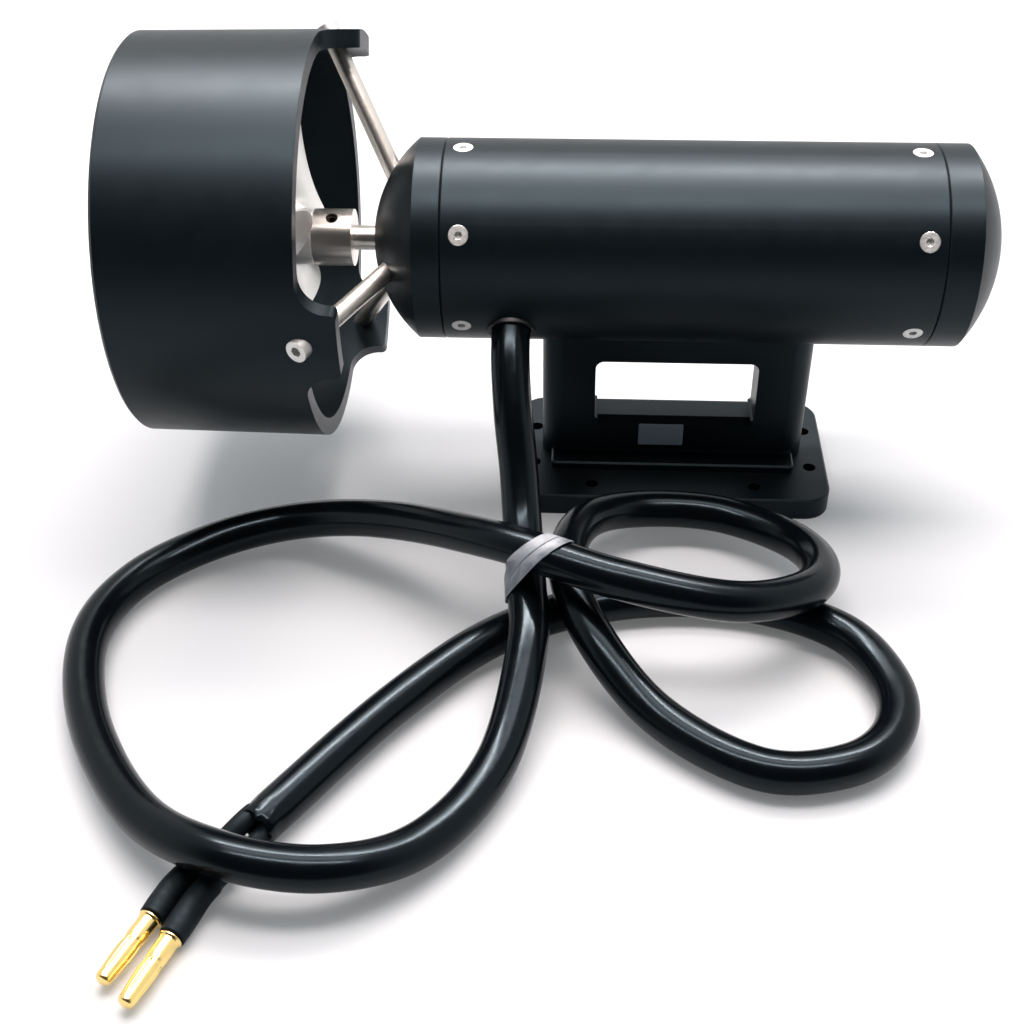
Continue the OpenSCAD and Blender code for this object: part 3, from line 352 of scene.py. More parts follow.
def rubber_jacket(colours):
    """Extruded soft rubber: black and glossy, with faint streaks lengthwise where the die dragged.

    The UV map runs in metres, first along the cable and then round it.
    """
    return patterned(
        "extruded_rubber", [(0.9, 2, (0.03, 1, 1)), (4, 5, EVEN)], (0.17, 0.24), (0.1, 0.05),
        uv_map="UVMap", Base_Color=rgba(colours.jacket), IOR=1.5, Specular_IOR_Level=0.2,
        Specular_Tint=rgba(colours.jacket_sheen))


def heat_shrink(colours):
    """Heat-shrink tube: matte black plastic with shallow wrinkles and a scuffed sheen."""
    return patterned(
        "heat_shrink_tube", [(2.2, 4, EVEN)], (0.5, 0.68), (0.3, 0.2),
        Base_Color=rgba(colours.sleeve), Specular_IOR_Level=0.2,
        Specular_Tint=rgba(colours.jacket_sheen))


def frosted_plastic(colours):
    """Frosted polyethylene of the tie: milky, half clear, with fine lines of painted shade along
    the strip.
    """
    # Streaks along the strip mix the tie's own colour with its painted shade
    return patterned(
        "frosted_polyethylene", [(0.7, 3, (0.08, 1, 1))], (0.35, 0.55), (0.3, 0.08),
        tones=(colours.tie_painted_shade, colours.tie), tone_spread=(0.4, 0.6), uv_map="UVMap",
        IOR=1.5, Transmission_Weight=0.5)


def gold_plate(colours):
    """Brass turned and gold plated: bright and warm, with soft lathe ripples under the plate."""
    return patterned(
        "gold_plated_brass", [(1.4, 3, EVEN)], (0.18, 0.24), (0.03, 0.01),
        Metallic=1.0, Base_Color=rgba(colours.gold))


def brushed_plate(colours):
    """Thin aluminium plate, lacquered grey and brushed: a flat dull sheen with fine lines."""
    return patterned(
        "brushed_grey_plate", [(0.4, 2, LINES)], (0.42, 0.6),
        tones=(np.array(colours.plate) * 0.85, colours.plate), Specular_IOR_Level=0.4)


def plain_finish(name, hex_colour, metallic, roughness, feature_mm, stretch=EVEN):
    """Finish of a small or hidden piece: a colour that drifts with a pattern of its own size."""
    base = np.array(linear(hex_colour))
    return patterned(
        name, [(feature_mm, 3, stretch)], (roughness * 0.85, roughness * 1.15), (0.2, 0.05),
        tones=(base * 0.8, base), Metallic=metallic)


def dress(material, *names):
    """Gives CAD nodes a material."""
    for name in names:
        if name not in NODES:
            raise KeyError(f"the frame has no node {name}")
        data = NODES[name].data
        data.materials.clear()
        data.materials.append(material)


def normalised(vectors):
    """Vectors scaled to length 1 along the last axis."""
    return vectors / np.linalg.norm(vectors, axis=-1, keepdims=True)


def smooth_route(controls, per_span):
    """Catmull-Rom curve through the control points.

    Between controls b and c, with a before and d after, the point at t is half of
    2b + (c - a)t + (2a - 5b + 4c - d)t^2 + (3b - a - 3c + d)t^3.
    """
    p = np.vstack([controls[:1], controls, controls[-1:]])
    t = (np.arange(per_span) / per_span)[None, :, None]
    a, b, c, d = (p[i:len(p) - 3 + i, None, :] for i in range(4))
    curve = (2 * b + (c - a) * t + (2 * a - 5 * b + 4 * c - d) * t ** 2
             + (3 * b - a - 3 * c + d) * t ** 3)
    return np.vstack([curve.reshape(-1, 3) / 2, controls[-1:]])


def run_along(points):
    """How far along their line each point lies."""
    return np.concatenate([[0.0], np.cumsum(np.linalg.norm(np.diff(points, axis=0), axis=1))])


def evenly(points, step):
    """The points again at even steps along their line, and how far along each one lies."""
    run = run_along(points)
    at = np.linspace(0, run[-1], max(2, round(run[-1] / step)) + 1)
    return np.stack([np.interp(at, run, column) for column in points.T], axis=1), at


def cable_path(step):
    """The cable's centre line at even steps, and how far along each point lies."""
    return evenly(smooth_route(CABLE_ROUTE, CABLE_SPAN_POINTS), step)


def smoothstep(low, high, x):
    """0 below low, 1 above high, and 3t^2 - 2t^3 between, where t is the share of the way."""
    t = np.clip((x - low) / (high - low), 0, 1)
    return t * t * (3 - 2 * t)


def ring_angles(count):
    """Angles of the columns of a closed ring."""
    return np.linspace(0, 2 * np.pi, count, endpoint=False)


def ring_surface(centres, along, radius):
    """Rings round centres: point = centre + radius (cos a side + sin a over), a round the ring.

    Side is level and square to along, which is nowhere upright, and over is square to both.
    """
    side = normalised(np.cross(along, UP))
    over = np.cross(side, along)
    a = ring_angles(radius.shape[1])[None, :, None]
    return centres + radius[:, :, None] * (np.cos(a) * side + np.sin(a) * over)


def tube_surface(path, radius):
    """Tube whose rings stand square to a path."""
    tangent = normalised(np.gradient(path, axis=0))
    return ring_surface(path[:, None], tangent[:, None], radius)


def turned_surface(distance, radius, origin, along):
    """Turned form, with its rings at origin + distance along.

    Distance and radius are arrays of rows by columns, so a thread or a hexagon can vary round the
    axis.
    """
    along = normalised(np.asarray(along, float))
    return ring_surface(origin + distance[:, :, None] * along, along, radius)


def rounded(corners, radius, steps=4):
    """An open outline with its inner corners replaced by curves.

    At share t of a corner b between the points p and q, which lie radius or half a side away, the
    curve is at (1-t)^2 p + 2t(1-t) b + t^2 q.
    """
    corners = np.asarray(corners, float)
    a, b, c = corners[:-2], corners[1:-1], corners[2:]
    reach_a = np.minimum(radius, np.linalg.norm(a - b, axis=1) / 2)[:, None]
    reach_c = np.minimum(radius, np.linalg.norm(c - b, axis=1) / 2)[:, None]
    p = b + normalised(a - b) * reach_a
    q = b + normalised(c - b) * reach_c
    t = np.linspace(0, 1, steps + 1)[None, :, None]
    curve = (1 - t) ** 2 * p[:, None] + 2 * t * (1 - t) * b[:, None] + t ** 2 * q[:, None]
    return np.vstack([corners[:1], curve.reshape(-1, corners.shape[1]), corners[-1:]])


def rounded_box(w, h, radius):
    """A closed outline of half width w and half height h with rounded corners."""
    corners = np.array([[0, -h], [w, -h], [w, h], [-w, h], [-w, -h], [0, -h]])
    return rounded(corners, radius)[:-1]


def capped(grid):
    """A grid of rings, closed by drawing its first and last ring together to a point."""
    first = grid[:1].mean(axis=1, keepdims=True) + 0 * grid[:1]
    last = grid[-1:].mean(axis=1, keepdims=True) + 0 * grid[-1:]
    return np.concatenate([first, grid, last])


def quads(grid):
    """The four corners of every cell of a grid."""
    return np.stack([grid[:-1, :-1], grid[1:, :-1], grid[1:, 1:], grid[:-1, 1:]], axis=2)


def make_piece(name, grids, material, body, uv=None):
    """One mesh object from grids of points (rows, columns, 3), with each row closed on itself.

    Neighbouring rows and columns make quads. Points that fall together are merged, which closes
    poles. A grid's UV map is given as the values of its rows and of its columns.
    """
    points, faces, uvs, start = [], [], [], 0
    for index, grid in enumerate(grids):
        rows, columns = grid.shape[:2]
        ids = start + np.arange(rows * columns).reshape(rows, columns)
        ids = np.hstack([ids, ids[:, :1]])
        points.append(grid.reshape(-1, 3))
        faces.append(quads(ids).reshape(-1, 4))
        start += rows * columns
        if uv is not None:
            at = np.stack(np.meshgrid(*uv[index], indexing="ij"), axis=-1)
            uvs.append(quads(at).reshape(-1, 2))
    points = np.vstack(points)
    if not np.isfinite(points).all():
        raise ValueError(f"{name} has points that are not numbers")
    mesh = bpy.data.meshes.new(name)
    mesh.from_pydata(points, [], np.vstack(faces).tolist())
    mesh.polygons.foreach_set("use_smooth", np.ones(len(mesh.polygons), bool))
    if uv is not None:
        mesh.uv_layers.new(name="UVMap").data.foreach_set("uv", np.vstack(uvs).ravel())
    merge_doubles(mesh)
    mesh.materials.append(material)
    piece = bpy.data.objects.new(name, mesh)
    bpy.context.scene.collection.objects.link(piece)
    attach(piece, body)
    return piece


def merge_doubles(mesh):
    """Merges points that fall together, drops what has no area and turns all faces outwards."""
    work = bmesh.new()
    work.from_mesh(mesh)
    bmesh.ops.remove_doubles(work, verts=work.verts, dist=0.002 * MM)
    bmesh.ops.dissolve_degenerate(work, edges=work.edges, dist=0.001 * MM)
    bmesh.ops.recalc_face_normals(work, faces=work.faces)
    work.to_mesh(mesh)
    work.free()


class StageOperator(bpy.types.Operator):
    """Sets up the camera, the white floor, the backdrop and the lamps overhead"""
    bl_idname = "thruster.stage"
    bl_label = "Studio"

    def execute(self, context):
        studio = context.scene.thruster_studio
        context.scene.view_settings.view_transform = "Standard"
        self.camera(context, studio)
        self.floor(context)
        self.lamps(context, studio)
        self.world(context, studio)
        return {"FINISHED"}

    def camera(self, context, studio):
        """Camera at its place: it looks down by pitch, is turned by yaw and tilted by roll."""
        pitch, yaw, roll = studio.pitch, studio.yaw, studio.roll
        forward = Vector((math.sin(yaw) * math.cos(pitch), math.cos(yaw) * math.cos(pitch),
                          -math.sin(pitch)))
        level = Vector((math.cos(yaw), -math.sin(yaw), 0))
        down = forward.cross(level)
        right = level * math.cos(roll) + down * math.sin(roll)
        upward = level * math.sin(roll) - down * math.cos(roll)
        data = bpy.data.cameras.new("camera")
        data.lens = studio.lens
        data.sensor_width = 36
        data.clip_start = 0.01
        camera = bpy.data.objects.new("camera", data)
        turn = Matrix((right, upward, -forward)).transposed().to_4x4()
        camera.matrix_world = Matrix.Translation(studio.eye) @ turn
        context.scene.collection.objects.link(camera)
        context.scene.camera = camera

    def floor(self, context):
        """White paper sweep, matte and level, a little below the base plate.

        It keeps shadows near the object and is plain white further out.
        """
        half, z = FLOOR_HALF, FLOOR_Z
        mesh = bpy.data.meshes.new("floor")
        mesh.from_pydata(
            [(-half, -half, z), (half, -half, z), (half, half, z), (-half, half, z)],
            [], [(0, 1, 2, 3)])
        floor = bpy.data.objects.new("floor", mesh)
        context.scene.collection.objects.link(floor)
        material, tree, shader = new_material(
            "white_paper_floor", Roughness=0.9, Specular_IOR_Level=0.1,
            Base_Color=rgba(context.scene.thruster_colours.floor))
        glow = add(tree, "ShaderNodeEmission", {"Strength": 1.0})
        path = add(tree, "ShaderNodeLightPath")
        seen = add(tree, "ShaderNodeMath", {
            0: path.outputs["Is Camera Ray"], 1: path.outputs["Is Glossy Ray"]},
            operation="MAXIMUM")
        shown = add(tree, "ShaderNodeMath", {
            0: seen.outputs[0], 1: path.outputs["Is Transmission Ray"]}, operation="MAXIMUM")
        place = add(tree, "ShaderNodeTexCoord").outputs["Object"]
        away = add(tree, "ShaderNodeVectorMath", {0: place}, operation="LENGTH")
        white = add(tree, "ShaderNodeMapRange", {
            "Value": away.outputs["Value"], "From Min": FLOOR_WHITE_FROM,
            "From Max": FLOOR_WHITE_AT, "To Min": FLOOR_GLOW, "To Max": 1.0},
            interpolation_type="SMOOTHSTEP")
        share = add(tree, "ShaderNodeMath", {
            0: shown.outputs[0], 1: white.outputs["Result"]}, operation="MULTIPLY")
        mix = add(tree, "ShaderNodeMixShader", {
            0: share.outputs[0], 1: shader.outputs["BSDF"], 2: glow.outputs["Emission"]})
        tree.links.new(mix.outputs[0], tree.nodes["Material Output"].inputs["Surface"])
        mesh.materials.append(material)

    def lamps(self, context, studio):
        """Two long warm strips over the object, and beside them two that only reflections show."""
        for name, lean, away, width, power, share, lights in LAMPS:
            data = bpy.data.lights.new(name, "AREA")
            data.shape = "RECTANGLE"
            data.size, data.size_y = LAMP_LENGTH, width
            data.energy = getattr(studio, power) * share
            data.color = LAMP_COLOUR
            lamp = bpy.data.objects.new(name, data)
            lamp.visible_diffuse = lights
            tilt = math.radians(lean)
            along = Vector(ALONG)
            outward = Vector((0, math.sin(tilt), math.cos(tilt)))
            turn = Matrix((along, outward.cross(along), outward)).transposed()
            lamp.matrix_world = Matrix.Translation(LAMP_AIM + outward * away) @ turn.to_4x4()
            context.scene.collection.objects.link(lamp)

    def world(self, context, studio):
        """White all round, also in metal and clear plastic, with a dim room behind the camera.

        The room is a cone about a direction to the front and up. The backdrop's light is a little
        cool.
        """
        world = bpy.data.worlds.new("studio")
        context.scene.world = world
        world.use_nodes = True
        tree = world.node_tree
        place = add(tree, "ShaderNodeTexCoord")
        front = add(tree, "ShaderNodeVectorMath", {
            0: place.outputs["Generated"], 1: ROOM_DIRECTION}, operation="DOT_PRODUCT")
        room = add(tree, "ShaderNodeMapRange", {
            "Value": front.outputs["Value"], "From Min": ROOM_FROM, "From Max": ROOM_AT,
            "To Min": 1.0, "To Max": studio.room}, interpolation_type="SMOOTHSTEP")
        path = add(tree, "ShaderNodeLightPath")
        bright = add(tree, "ShaderNodeMix", {
            0: path.outputs["Is Glossy Ray"], 2: studio.backdrop, 3: 1.0}, data_type="FLOAT")
        light = add(tree, "ShaderNodeMath", {
            0: bright.outputs[0], 1: room.outputs["Result"]}, operation="MULTIPLY")
        seen = add(tree, "ShaderNodeMath", {
            0: path.outputs["Is Camera Ray"], 1: path.outputs["Is Transmission Ray"]},
            operation="MAXIMUM")
        strength = add(tree, "ShaderNodeMix", {
            0: seen.outputs[0], 2: light.outputs[0], 3: 1.0}, data_type="FLOAT")
        plain = add(tree, "ShaderNodeMath", {
            0: seen.outputs[0], 1: path.outputs["Is Glossy Ray"]}, operation="MAXIMUM")
        tint = add(tree, "ShaderNodeMix", {
            0: plain.outputs[0], 6: COOL_LIGHT, 7: WHITE}, data_type="RGBA")
        background = tree.nodes["Background"]
        tree.links.new(strength.outputs[0], background.inputs["Strength"])
        tree.links.new(tint.outputs[2], background.inputs["Color"])


class CableOperator(bpy.types.Operator):
    """Makes the supply cable along its route, with the torn end of its jacket"""
    bl_idname = "thruster.supply_cable"
    bl_label = "Supply cable"

    def execute(self, context):
        """Tube round the route whose radius has slow ripples of half a per cent.

        Over its last 9 mm it draws in by a twentieth and folds in waves of five and nine round the
        ring. The last ring is ragged, and behind it the rings turn in to a hollow mouth.
        """
        radius = context.scene.thruster_sizes.cable_d / 2
        path, along = cable_path(CABLE_STEP)
        columns, torn = 48, 9 * MM
        a = ring_angles(columns)[None]
        left = (along[-1] - along)[:, None]
        crimp = 1 - smoothstep(0, torn, left)
        folds = 0.025 * np.sin(5 * a + 600 * left) + 0.018 * np.sin(9 * a - 900 * left)
        drift = (0.005 * np.sin(2 * a + 70 * along[:, None])
                 + 0.003 * np.sin(along[:, None] * 210))
        skin = tube_surface(path, radius * (1 + drift + crimp * (folds - 0.05)))
        heading = normalised(path[-1] - path[-2])
        ragged = 0.35 * np.sin(4 * a) + 0.3 * np.sin(7 * a + 1) + 0.25 * np.sin(13 * a + 2)
        skin[-1:] = skin[-1:] + ragged[..., None] * MM * heading
        last = skin[-1:]
        centre = last.mean(axis=1, keepdims=True)
        mouth = [centre + (last - centre) * share - heading * depth * MM
                 for share, depth in ((0.95, -0.2), (0.84, 0.1), (0.8, 2.5))]
        points = capped(np.concatenate([skin, *mouth]))
        rows = np.concatenate([along[:1], along, along[-1] + np.arange(1, 5) * MM])
        round_ring = np.linspace(0, 2 * np.pi * radius, columns + 1)
        cable = make_piece(
            "supply_cable_jacket", [points], rubber_jacket(context.scene.thruster_colours),
            "frame", uv=[(rows, round_ring)])
        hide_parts("supply_cable")
        return {"FINISHED"}


class LeadsOperator(bpy.types.Operator):
    """Makes the two sleeved leads between the jacket's end and the plugs"""
    bl_idname = "thruster.lead_sleeves"
    bl_label = "Lead sleeves"

    def execute(self, context):
        radius = context.scene.thruster_sizes.sleeve_d / 2
        grids = [self.lead(route, radius, number) for number, route in enumerate(LEAD_ROUTES)]
        sleeves = make_piece(
            "lead_heat_shrink", grids, heat_shrink(context.scene.thruster_colours),
            "frame")
        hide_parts("lead_sleeves")
        return {"FINISHED"}

    def lead(self, route, radius, number):
        """Tube that starts thin inside the jacket, steps up to the sleeve and tucks in at the plug.

        Its girth is 0.9 of the radius, grows by smooth steps half way and beyond, and wrinkles in
        three waves round the ring.
        """
        path, along = evenly(smooth_route(route, 30), 0.6 * MM)
        share = (along / along[-1])[:, None]
        a = ring_angles(40)[None]
        step = smoothstep(0.5, 0.56, share + 0.012 * np.sin(3 * a + number))
        girth = (0.9 + 0.17 * step + 0.07 * smoothstep(0.6, 0.8, share)
                 - 0.06 * smoothstep(0.9, 1, share))
        wrinkle = 0.015 * np.sin(3 * a + 25 * share + number) * np.sin(np.pi * share)
        skin = tube_surface(path, radius * (girth + wrinkle))
        centre = skin[-1:].mean(axis=1, keepdims=True)
        return capped(np.concatenate([skin, centre + (skin[-1:] - centre) * 0.92]))


class PlugsOperator(bpy.types.Operator):
    """Makes the two gold bullet plugs"""
    bl_idname = "thruster.bullet_plugs"
    bl_label = "Bullet plugs"

    def execute(self, context):
        sizes = context.scene.thruster_sizes
        grids = [self.plug(sizes, route) for route in LEAD_ROUTES]
        plugs = make_piece(
            "gold_bullet_plugs", grids, gold_plate(context.scene.thruster_colours),
            "frame")
        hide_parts("bullet_plugs")
        return {"FINISHED"}

    def plug(self, sizes, route):
        """Outline turned about the lead's end: a collar, a barrel, a sprung belly and a blunt tip.

        Four slits run from two fifths to four fifths of the way to the tip, where a bell curve
        across each slit draws the radius in by a fifth.
        """
        belly, total, collar = sizes.plug_d / 2, sizes.plug_len, sizes.sleeve_d / 2
        outline = rounded(np.array([
            [0.2 * MM, 0.0], [0.2 * MM, collar], [1.1 * MM, collar], [1.2 * MM, belly * 1.12],
            [0.34 * total, belly * 1.12], [0.4 * total, belly * 0.98], [0.5 * total, belly * 1.1],
            [0.68 * total, belly * 1.06], [0.88 * total, belly * 0.94],
            [0.97 * total, belly * 0.9], [total, belly * 0.66], [total, 0.0]]), 0.9 * MM, 6)
        profile = evenly(outline, 0.2 * MM)[0]
        distance, radius = profile[:, :1], profile[:, 1:]
        a = ring_angles(160)[None]
        quarter, slit_depth, slit_width = np.pi / 2, 0.2, 0.22 * MM
        from_slit = np.abs((a / quarter + 0.5) % 1 - 0.5) * quarter * belly
        within = (smoothstep(0.38 * total, 0.42 * total, distance)
                  * (1 - smoothstep(0.8 * total, 0.86 * total, distance)))
        cut = 1 - slit_depth * within * np.exp(-(from_slit / slit_width) ** 2)
        heading = (route[-1] - route[-2]) * np.array([1, 1, 0])
        return turned_surface(distance + 0 * a, radius * cut, route[-1], heading)


class TieOperator(bpy.types.Operator):
    """Winds the frosted tie twice round the strands of the cable that it holds"""
    bl_idname = "thruster.cable_tie"
    bl_label = "Cable tie"

    def execute(self, context):
        """A rounded strip that follows the loop and moves sideways by its width in each turn."""
        sizes = context.scene.thruster_sizes
        turns, steps, between, wander = 2.0, 900, 0.1 * MM, 0.5 * MM
        t = np.linspace(0, turns, steps + 1)
        around = self.even_angle(sizes, t % 1)
        shift = (sizes.tie_w + between) * (t - turns / 2) + wander * np.sin(2 * np.pi * t)
        section = rounded_box(sizes.tie_w / 2, sizes.tie_t / 2, sizes.tie_t / 2 * 0.9)
        band = self.wrap(sizes, around[:, None], shift[:, None] + section[None, :, 0],
                         section[None, :, 1])
        run = run_along(band.mean(axis=1))
        rows = np.concatenate([run[:1], run, run[-1:]])
        columns = np.linspace(0, 2 * (sizes.tie_w + sizes.tie_t), section.shape[0] + 1)
        tie = make_piece(
            "frosted_tie", [capped(band)], frosted_plastic(context.scene.thruster_colours),
            "frame", uv=[(rows, columns)])
        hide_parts("cable_tie")
        return {"FINISHED"}

    def axes(self):
        """Two directions in the tie's plane and the direction across it."""
        ch, sh = math.cos(TIE_HEADING), math.sin(TIE_HEADING)
        cl, sl = math.cos(TIE_LEAN), math.sin(TIE_LEAN)
        first = np.array([ch, sh, 0])
        second = np.array([sh * sl, -ch * sl, cl])
        return first, second, np.array([sh * cl, -ch * cl, -sl])

    def strands(self):
        """Where two strands cross the plane, their slope across it and how long their cuts are."""
        first, second, across = self.axes()
        nearest, lowest, count = 30 * MM, 10 * MM, 2
        path = cable_path(0.5 * MM)[0]
        tangent = normalised(np.gradient(path, axis=0))
        height = (path - TIE_CENTRE) @ across
        near = np.linalg.norm(path[:-1] - TIE_CENTRE, axis=1) < nearest
        crosses = (height[1:] * height[:-1] < 0) & near & (path[:-1, 2] > lowest)
        held = np.flatnonzero(crosses)[:count]
        if len(held) != count:
            raise RuntimeError(f"the tie holds {len(held)} strands of the cable and not {count}")
        plane = np.stack([first, second], axis=1)
        lean = tangent[held] @ across
        slopes = (tangent[held] @ plane) / lean[:, None]
        return (path[held] - TIE_CENTRE) @ plane, slopes, 1 / np.abs(lean)

    def reach(self, sizes, around, shift):
        """How far the loop reaches towards an angle: a soft maximum over the strands' ellipses.

        An ellipse at c with half axes a and b reaches c.n + sqrt((a n_a)^2 + (b n_b)^2). The soft
        maximum is log(sum(exp(k reach))) / k, which rounds the corners where the loop leaves a
        strand.
        """
        centres, slopes, stretch = self.strands()
        clearance, k = 0.15 * MM, 2 / MM
        radius = sizes.cable_d / 2 + clearance + sizes.tie_t / 2
        n = np.stack([np.cos(around), np.sin(around)], axis=-1)
        reaches = []
        for centre, slope, axis, longer in zip(centres, slopes, normalised(slopes), stretch):
            at = ((centre + shift[..., None] * slope) * n).sum(axis=-1)
            lengthwise = (n * axis).sum(axis=-1)
            sideways = n[..., 0] * -axis[1] + n[..., 1] * axis[0]
            reaches.append(at + radius * np.sqrt((longer * lengthwise) ** 2 + sideways ** 2))
        reaches = np.stack(reaches)
        most = reaches.max(axis=0)
        return most + np.log(np.exp((reaches - most) * k).sum(axis=0)) / k

    def wrap(self, sizes, around, shift, proud):
        """Points of the band: reach r and slope r' give r n + r' t in the plane, moved by shift."""
        first, second, across = self.axes()
        around, shift = np.broadcast_arrays(around, shift)
        small = 1e-4
        reach = self.reach(sizes, around, shift)
        slope = (self.reach(sizes, around + small, shift)
                 - self.reach(sizes, around - small, shift)) / (2 * small)
        x = (reach + proud) * np.cos(around) - slope * np.sin(around)
        y = (reach + proud) * np.sin(around) + slope * np.cos(around)
        return (TIE_CENTRE + x[..., None] * first + y[..., None] * second
                + shift[..., None] * across)

    def even_angle(self, sizes, share):
        """Angles at which the loop has been followed for a share of its length, from underneath."""
        around = np.linspace(0, 2 * np.pi, 4001) - np.pi / 2
        run = run_along(self.wrap(sizes, around, np.zeros_like(around), 0.0))
        return np.interp(share * run[-1], run, around)


class PropellerOperator(bpy.types.Operator):
    """Makes the propeller: three pitched blades that flare into a boss with rounded edges"""
    bl_idname = "thruster.propeller"
    bl_label = "Propeller"

    def execute(self, context):
        sizes = context.scene.thruster_sizes
        low, high = (np.array(corner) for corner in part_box("propeller"))
        boss_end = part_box("hub_collar")[0][0]
        middle = boss_end - sizes.boss_len / 2
        grids = [self.blade(sizes, FIRST_BLADE + k * 2 * np.pi / BLADE_COUNT, middle)
                 for k in range(BLADE_COUNT)]
        r, bore, round_r = sizes.boss_d / 2, sizes.shaft_d / 2 + BORE_ROOM, 0.8 * MM
        outline = rounded(np.array([
            [0, (r + bore) / 2], [0, r], [sizes.boss_len, r], [sizes.boss_len, bore], [0, bore],
            [0, (r + bore) / 2]]), round_r, 6)
        a = ring_angles(96)[None]
        grids.append(turned_surface(outline[:, :1] + 0 * a, outline[:, 1:] + 0 * a,
                                    (boss_end - sizes.boss_len, 0, AXIS_Z), ALONG))
        propeller = make_piece(
            "fine_propeller", grids, satin_alloy(context.scene.thruster_colours),
            "rotor")
        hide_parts("propeller")
        points, slack = np.array([corner[:] for corner in propeller.bound_box]), 2 * MM
        if (points.min(axis=0) < low - slack).any() or (points.max(axis=0) > high + slack).any():
            raise RuntimeError("the propeller does not fit its solid")
        return {"FINISHED"}

    def blade(self, sizes, turn, middle):
        """One blade: sections wrapped on cylinders of radius r, from inside the boss to the tip.

        At a share s of the span the chord is (23 + 21 sin(90 deg min(1, s / 0.25))) mm, shrunk over
        the last fifth by sqrt(1 - 0.55 tip^2). The thickness falls from 4 to 1.6 mm and closes like
        a quarter circle at the tip; near the boss a bell curve thickens it, which makes the flare.
        The pitch is the tip's plus the difference to the root's times (1 - s)^2, and the section
        leans by atan(pitch / 2 pi r). A chord share u has its back at 0.75 and its front at -0.25
        of the thickness times (1 - 0.9 u^2), rounded at both edges by sqrt(1 - u^16).
        """
        s = np.concatenate([np.linspace(0, 0.3, 50)[:-1], np.linspace(0.3, 0.96, 40)[:-1],
                            1 - 0.04 * np.linspace(1, 0, 16) ** 2])[:, None]
        w = ring_angles(88)[None]
        u, back = -np.cos(w), w < np.pi
        root = sizes.boss_d / 2 - 1.5 * MM
        r = root + (sizes.prop_d / 2 - root) * s
        tip = np.clip((s - 0.8) / 0.2, 0, 1)
        swell = np.sin(np.pi / 2 * np.minimum(1, s / 0.25))
        chord = (23 + 21 * swell) * np.sqrt(1 - 0.55 * tip ** 2) * MM
        closing = np.sqrt(np.maximum(1 - np.clip((s - 0.985) / 0.015, 0, 1) ** 2, 0))
        flare = 1 + 0.9 * np.exp(-((r - sizes.boss_d / 2) / (2.2 * MM)) ** 2)
        thickness = (4 - 2.4 * s) * MM * closing * flare
        fall = sizes.blade_pitch - sizes.blade_tip_pitch
        lean = np.arctan((sizes.blade_tip_pitch + fall * (1 - s) ** 2) / (2 * np.pi * r))
        c = u * chord / 2
        n = np.where(back, 0.75, -0.25) * thickness * (1 - 0.9 * u ** 2) * np.sqrt(1 - u ** 16)
        sweep = (c * np.cos(lean) - n * np.sin(lean)) / r + turn
        x = middle + c * np.sin(lean) + n * np.cos(lean)
        return capped(np.stack([x, -r * np.cos(sweep), AXIS_Z + r * np.sin(sweep)], axis=-1))


class ShaftOperator(bpy.types.Operator):
    """Makes the drive shaft with the thread on its end, and the bevelled nut that sits on it"""
    bl_idname = "thruster.shaft_and_nut"
    bl_label = "Shaft and nut"

    def execute(self, context):
        sizes = context.scene.thruster_sizes
        material = turned_stainless(context.scene.thruster_colours)
        shaft = make_piece("threaded_shaft", [self.shaft(sizes)], material, "rotor")
        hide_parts("drive_shaft")
        nut = make_piece("bevelled_nut", [self.nut(sizes)], material, "rotor")
        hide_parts("prop_nut")
        return {"FINISHED"}

    def shaft(self, sizes):
        """Rod along X with bevelled ends, whose radius drops in a thread as far as the washer.

        At x and the angle a the thread is |2 f - 1| of its depth, where f is the fraction of
        x / pitch - a / 2 pi, so it climbs one pitch in each turn.
        """
        start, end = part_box("drive_shaft")[0][0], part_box("drive_shaft")[1][0]
        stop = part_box("prop_washer")[1][0]
        thread_depth, run_out, core = 0.6 * MM, 1.5 * MM, 1 * MM
        x = np.concatenate([
            np.arange(start, stop + 2 * MM, 0.12 * MM),
            np.linspace(stop + 2.2 * MM, end - 0.6 * MM, 30), [end - 0.3 * MM, end]])[:, None]
        a = ring_angles(72)[None]
        wave = np.abs(2 * ((x / sizes.thread_pitch - a / (2 * np.pi)) % 1) - 1)
        depth = thread_depth * wave * (1 - smoothstep(stop, stop + run_out, x))
        bevel = np.maximum(0.9 * MM - (x - start), 0) + np.maximum(0.5 * MM - (end - x), 0)
        radius = np.maximum(sizes.shaft_d / 2 - np.maximum(depth, bevel), core)
        return capped(turned_surface(x + 0 * a, radius, (0, 0, AXIS_Z), ALONG))

    def nut(self, sizes):
        """Hexagon of radius half the flats over cos(q - 30 deg), q the angle modulo 60 degrees.

        Both ends start from a round face, and a 30 degree cone runs from its rim to the hexagon.
        Between the rings of the outline seven more lie at even shares.
        """
        start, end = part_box("prop_nut")[0][0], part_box("prop_nut")[1][0]
        a = ring_angles(144)[None]
        flat, same, sink, lip = sizes.nut_af / 2, 0 * a, 0.6 * MM, 0.5 * MM
        hexagon = flat / np.cos((a - np.pi / 2) % (np.pi / 3) - np.pi / 6)
        rim = flat * 0.96 + same
        bore = sizes.shaft_d / 2 + BORE_ROOM + same
        cone = (hexagon - rim) * math.tan(math.radians(30))
        x = np.concatenate([
            start + sink + same, start + same, start + same, start + cone, end - cone,
            end + same, end + same, end - sink + same, start + sink + same])
        r = np.concatenate([
            bore, bore + lip, rim, hexagon, hexagon, rim, bore + lip, bore, bore])
        fine = np.linspace(0, len(x) - 1, 8 * (len(x) - 1) + 1)
        low = np.floor(fine).astype(int).clip(0, len(x) - 2)
        share = (fine - low)[:, None]
        return turned_surface(x[low] * (1 - share) + x[low + 1] * share,
                              r[low] * (1 - share) + r[low + 1] * share, (0, 0, AXIS_Z), ALONG)


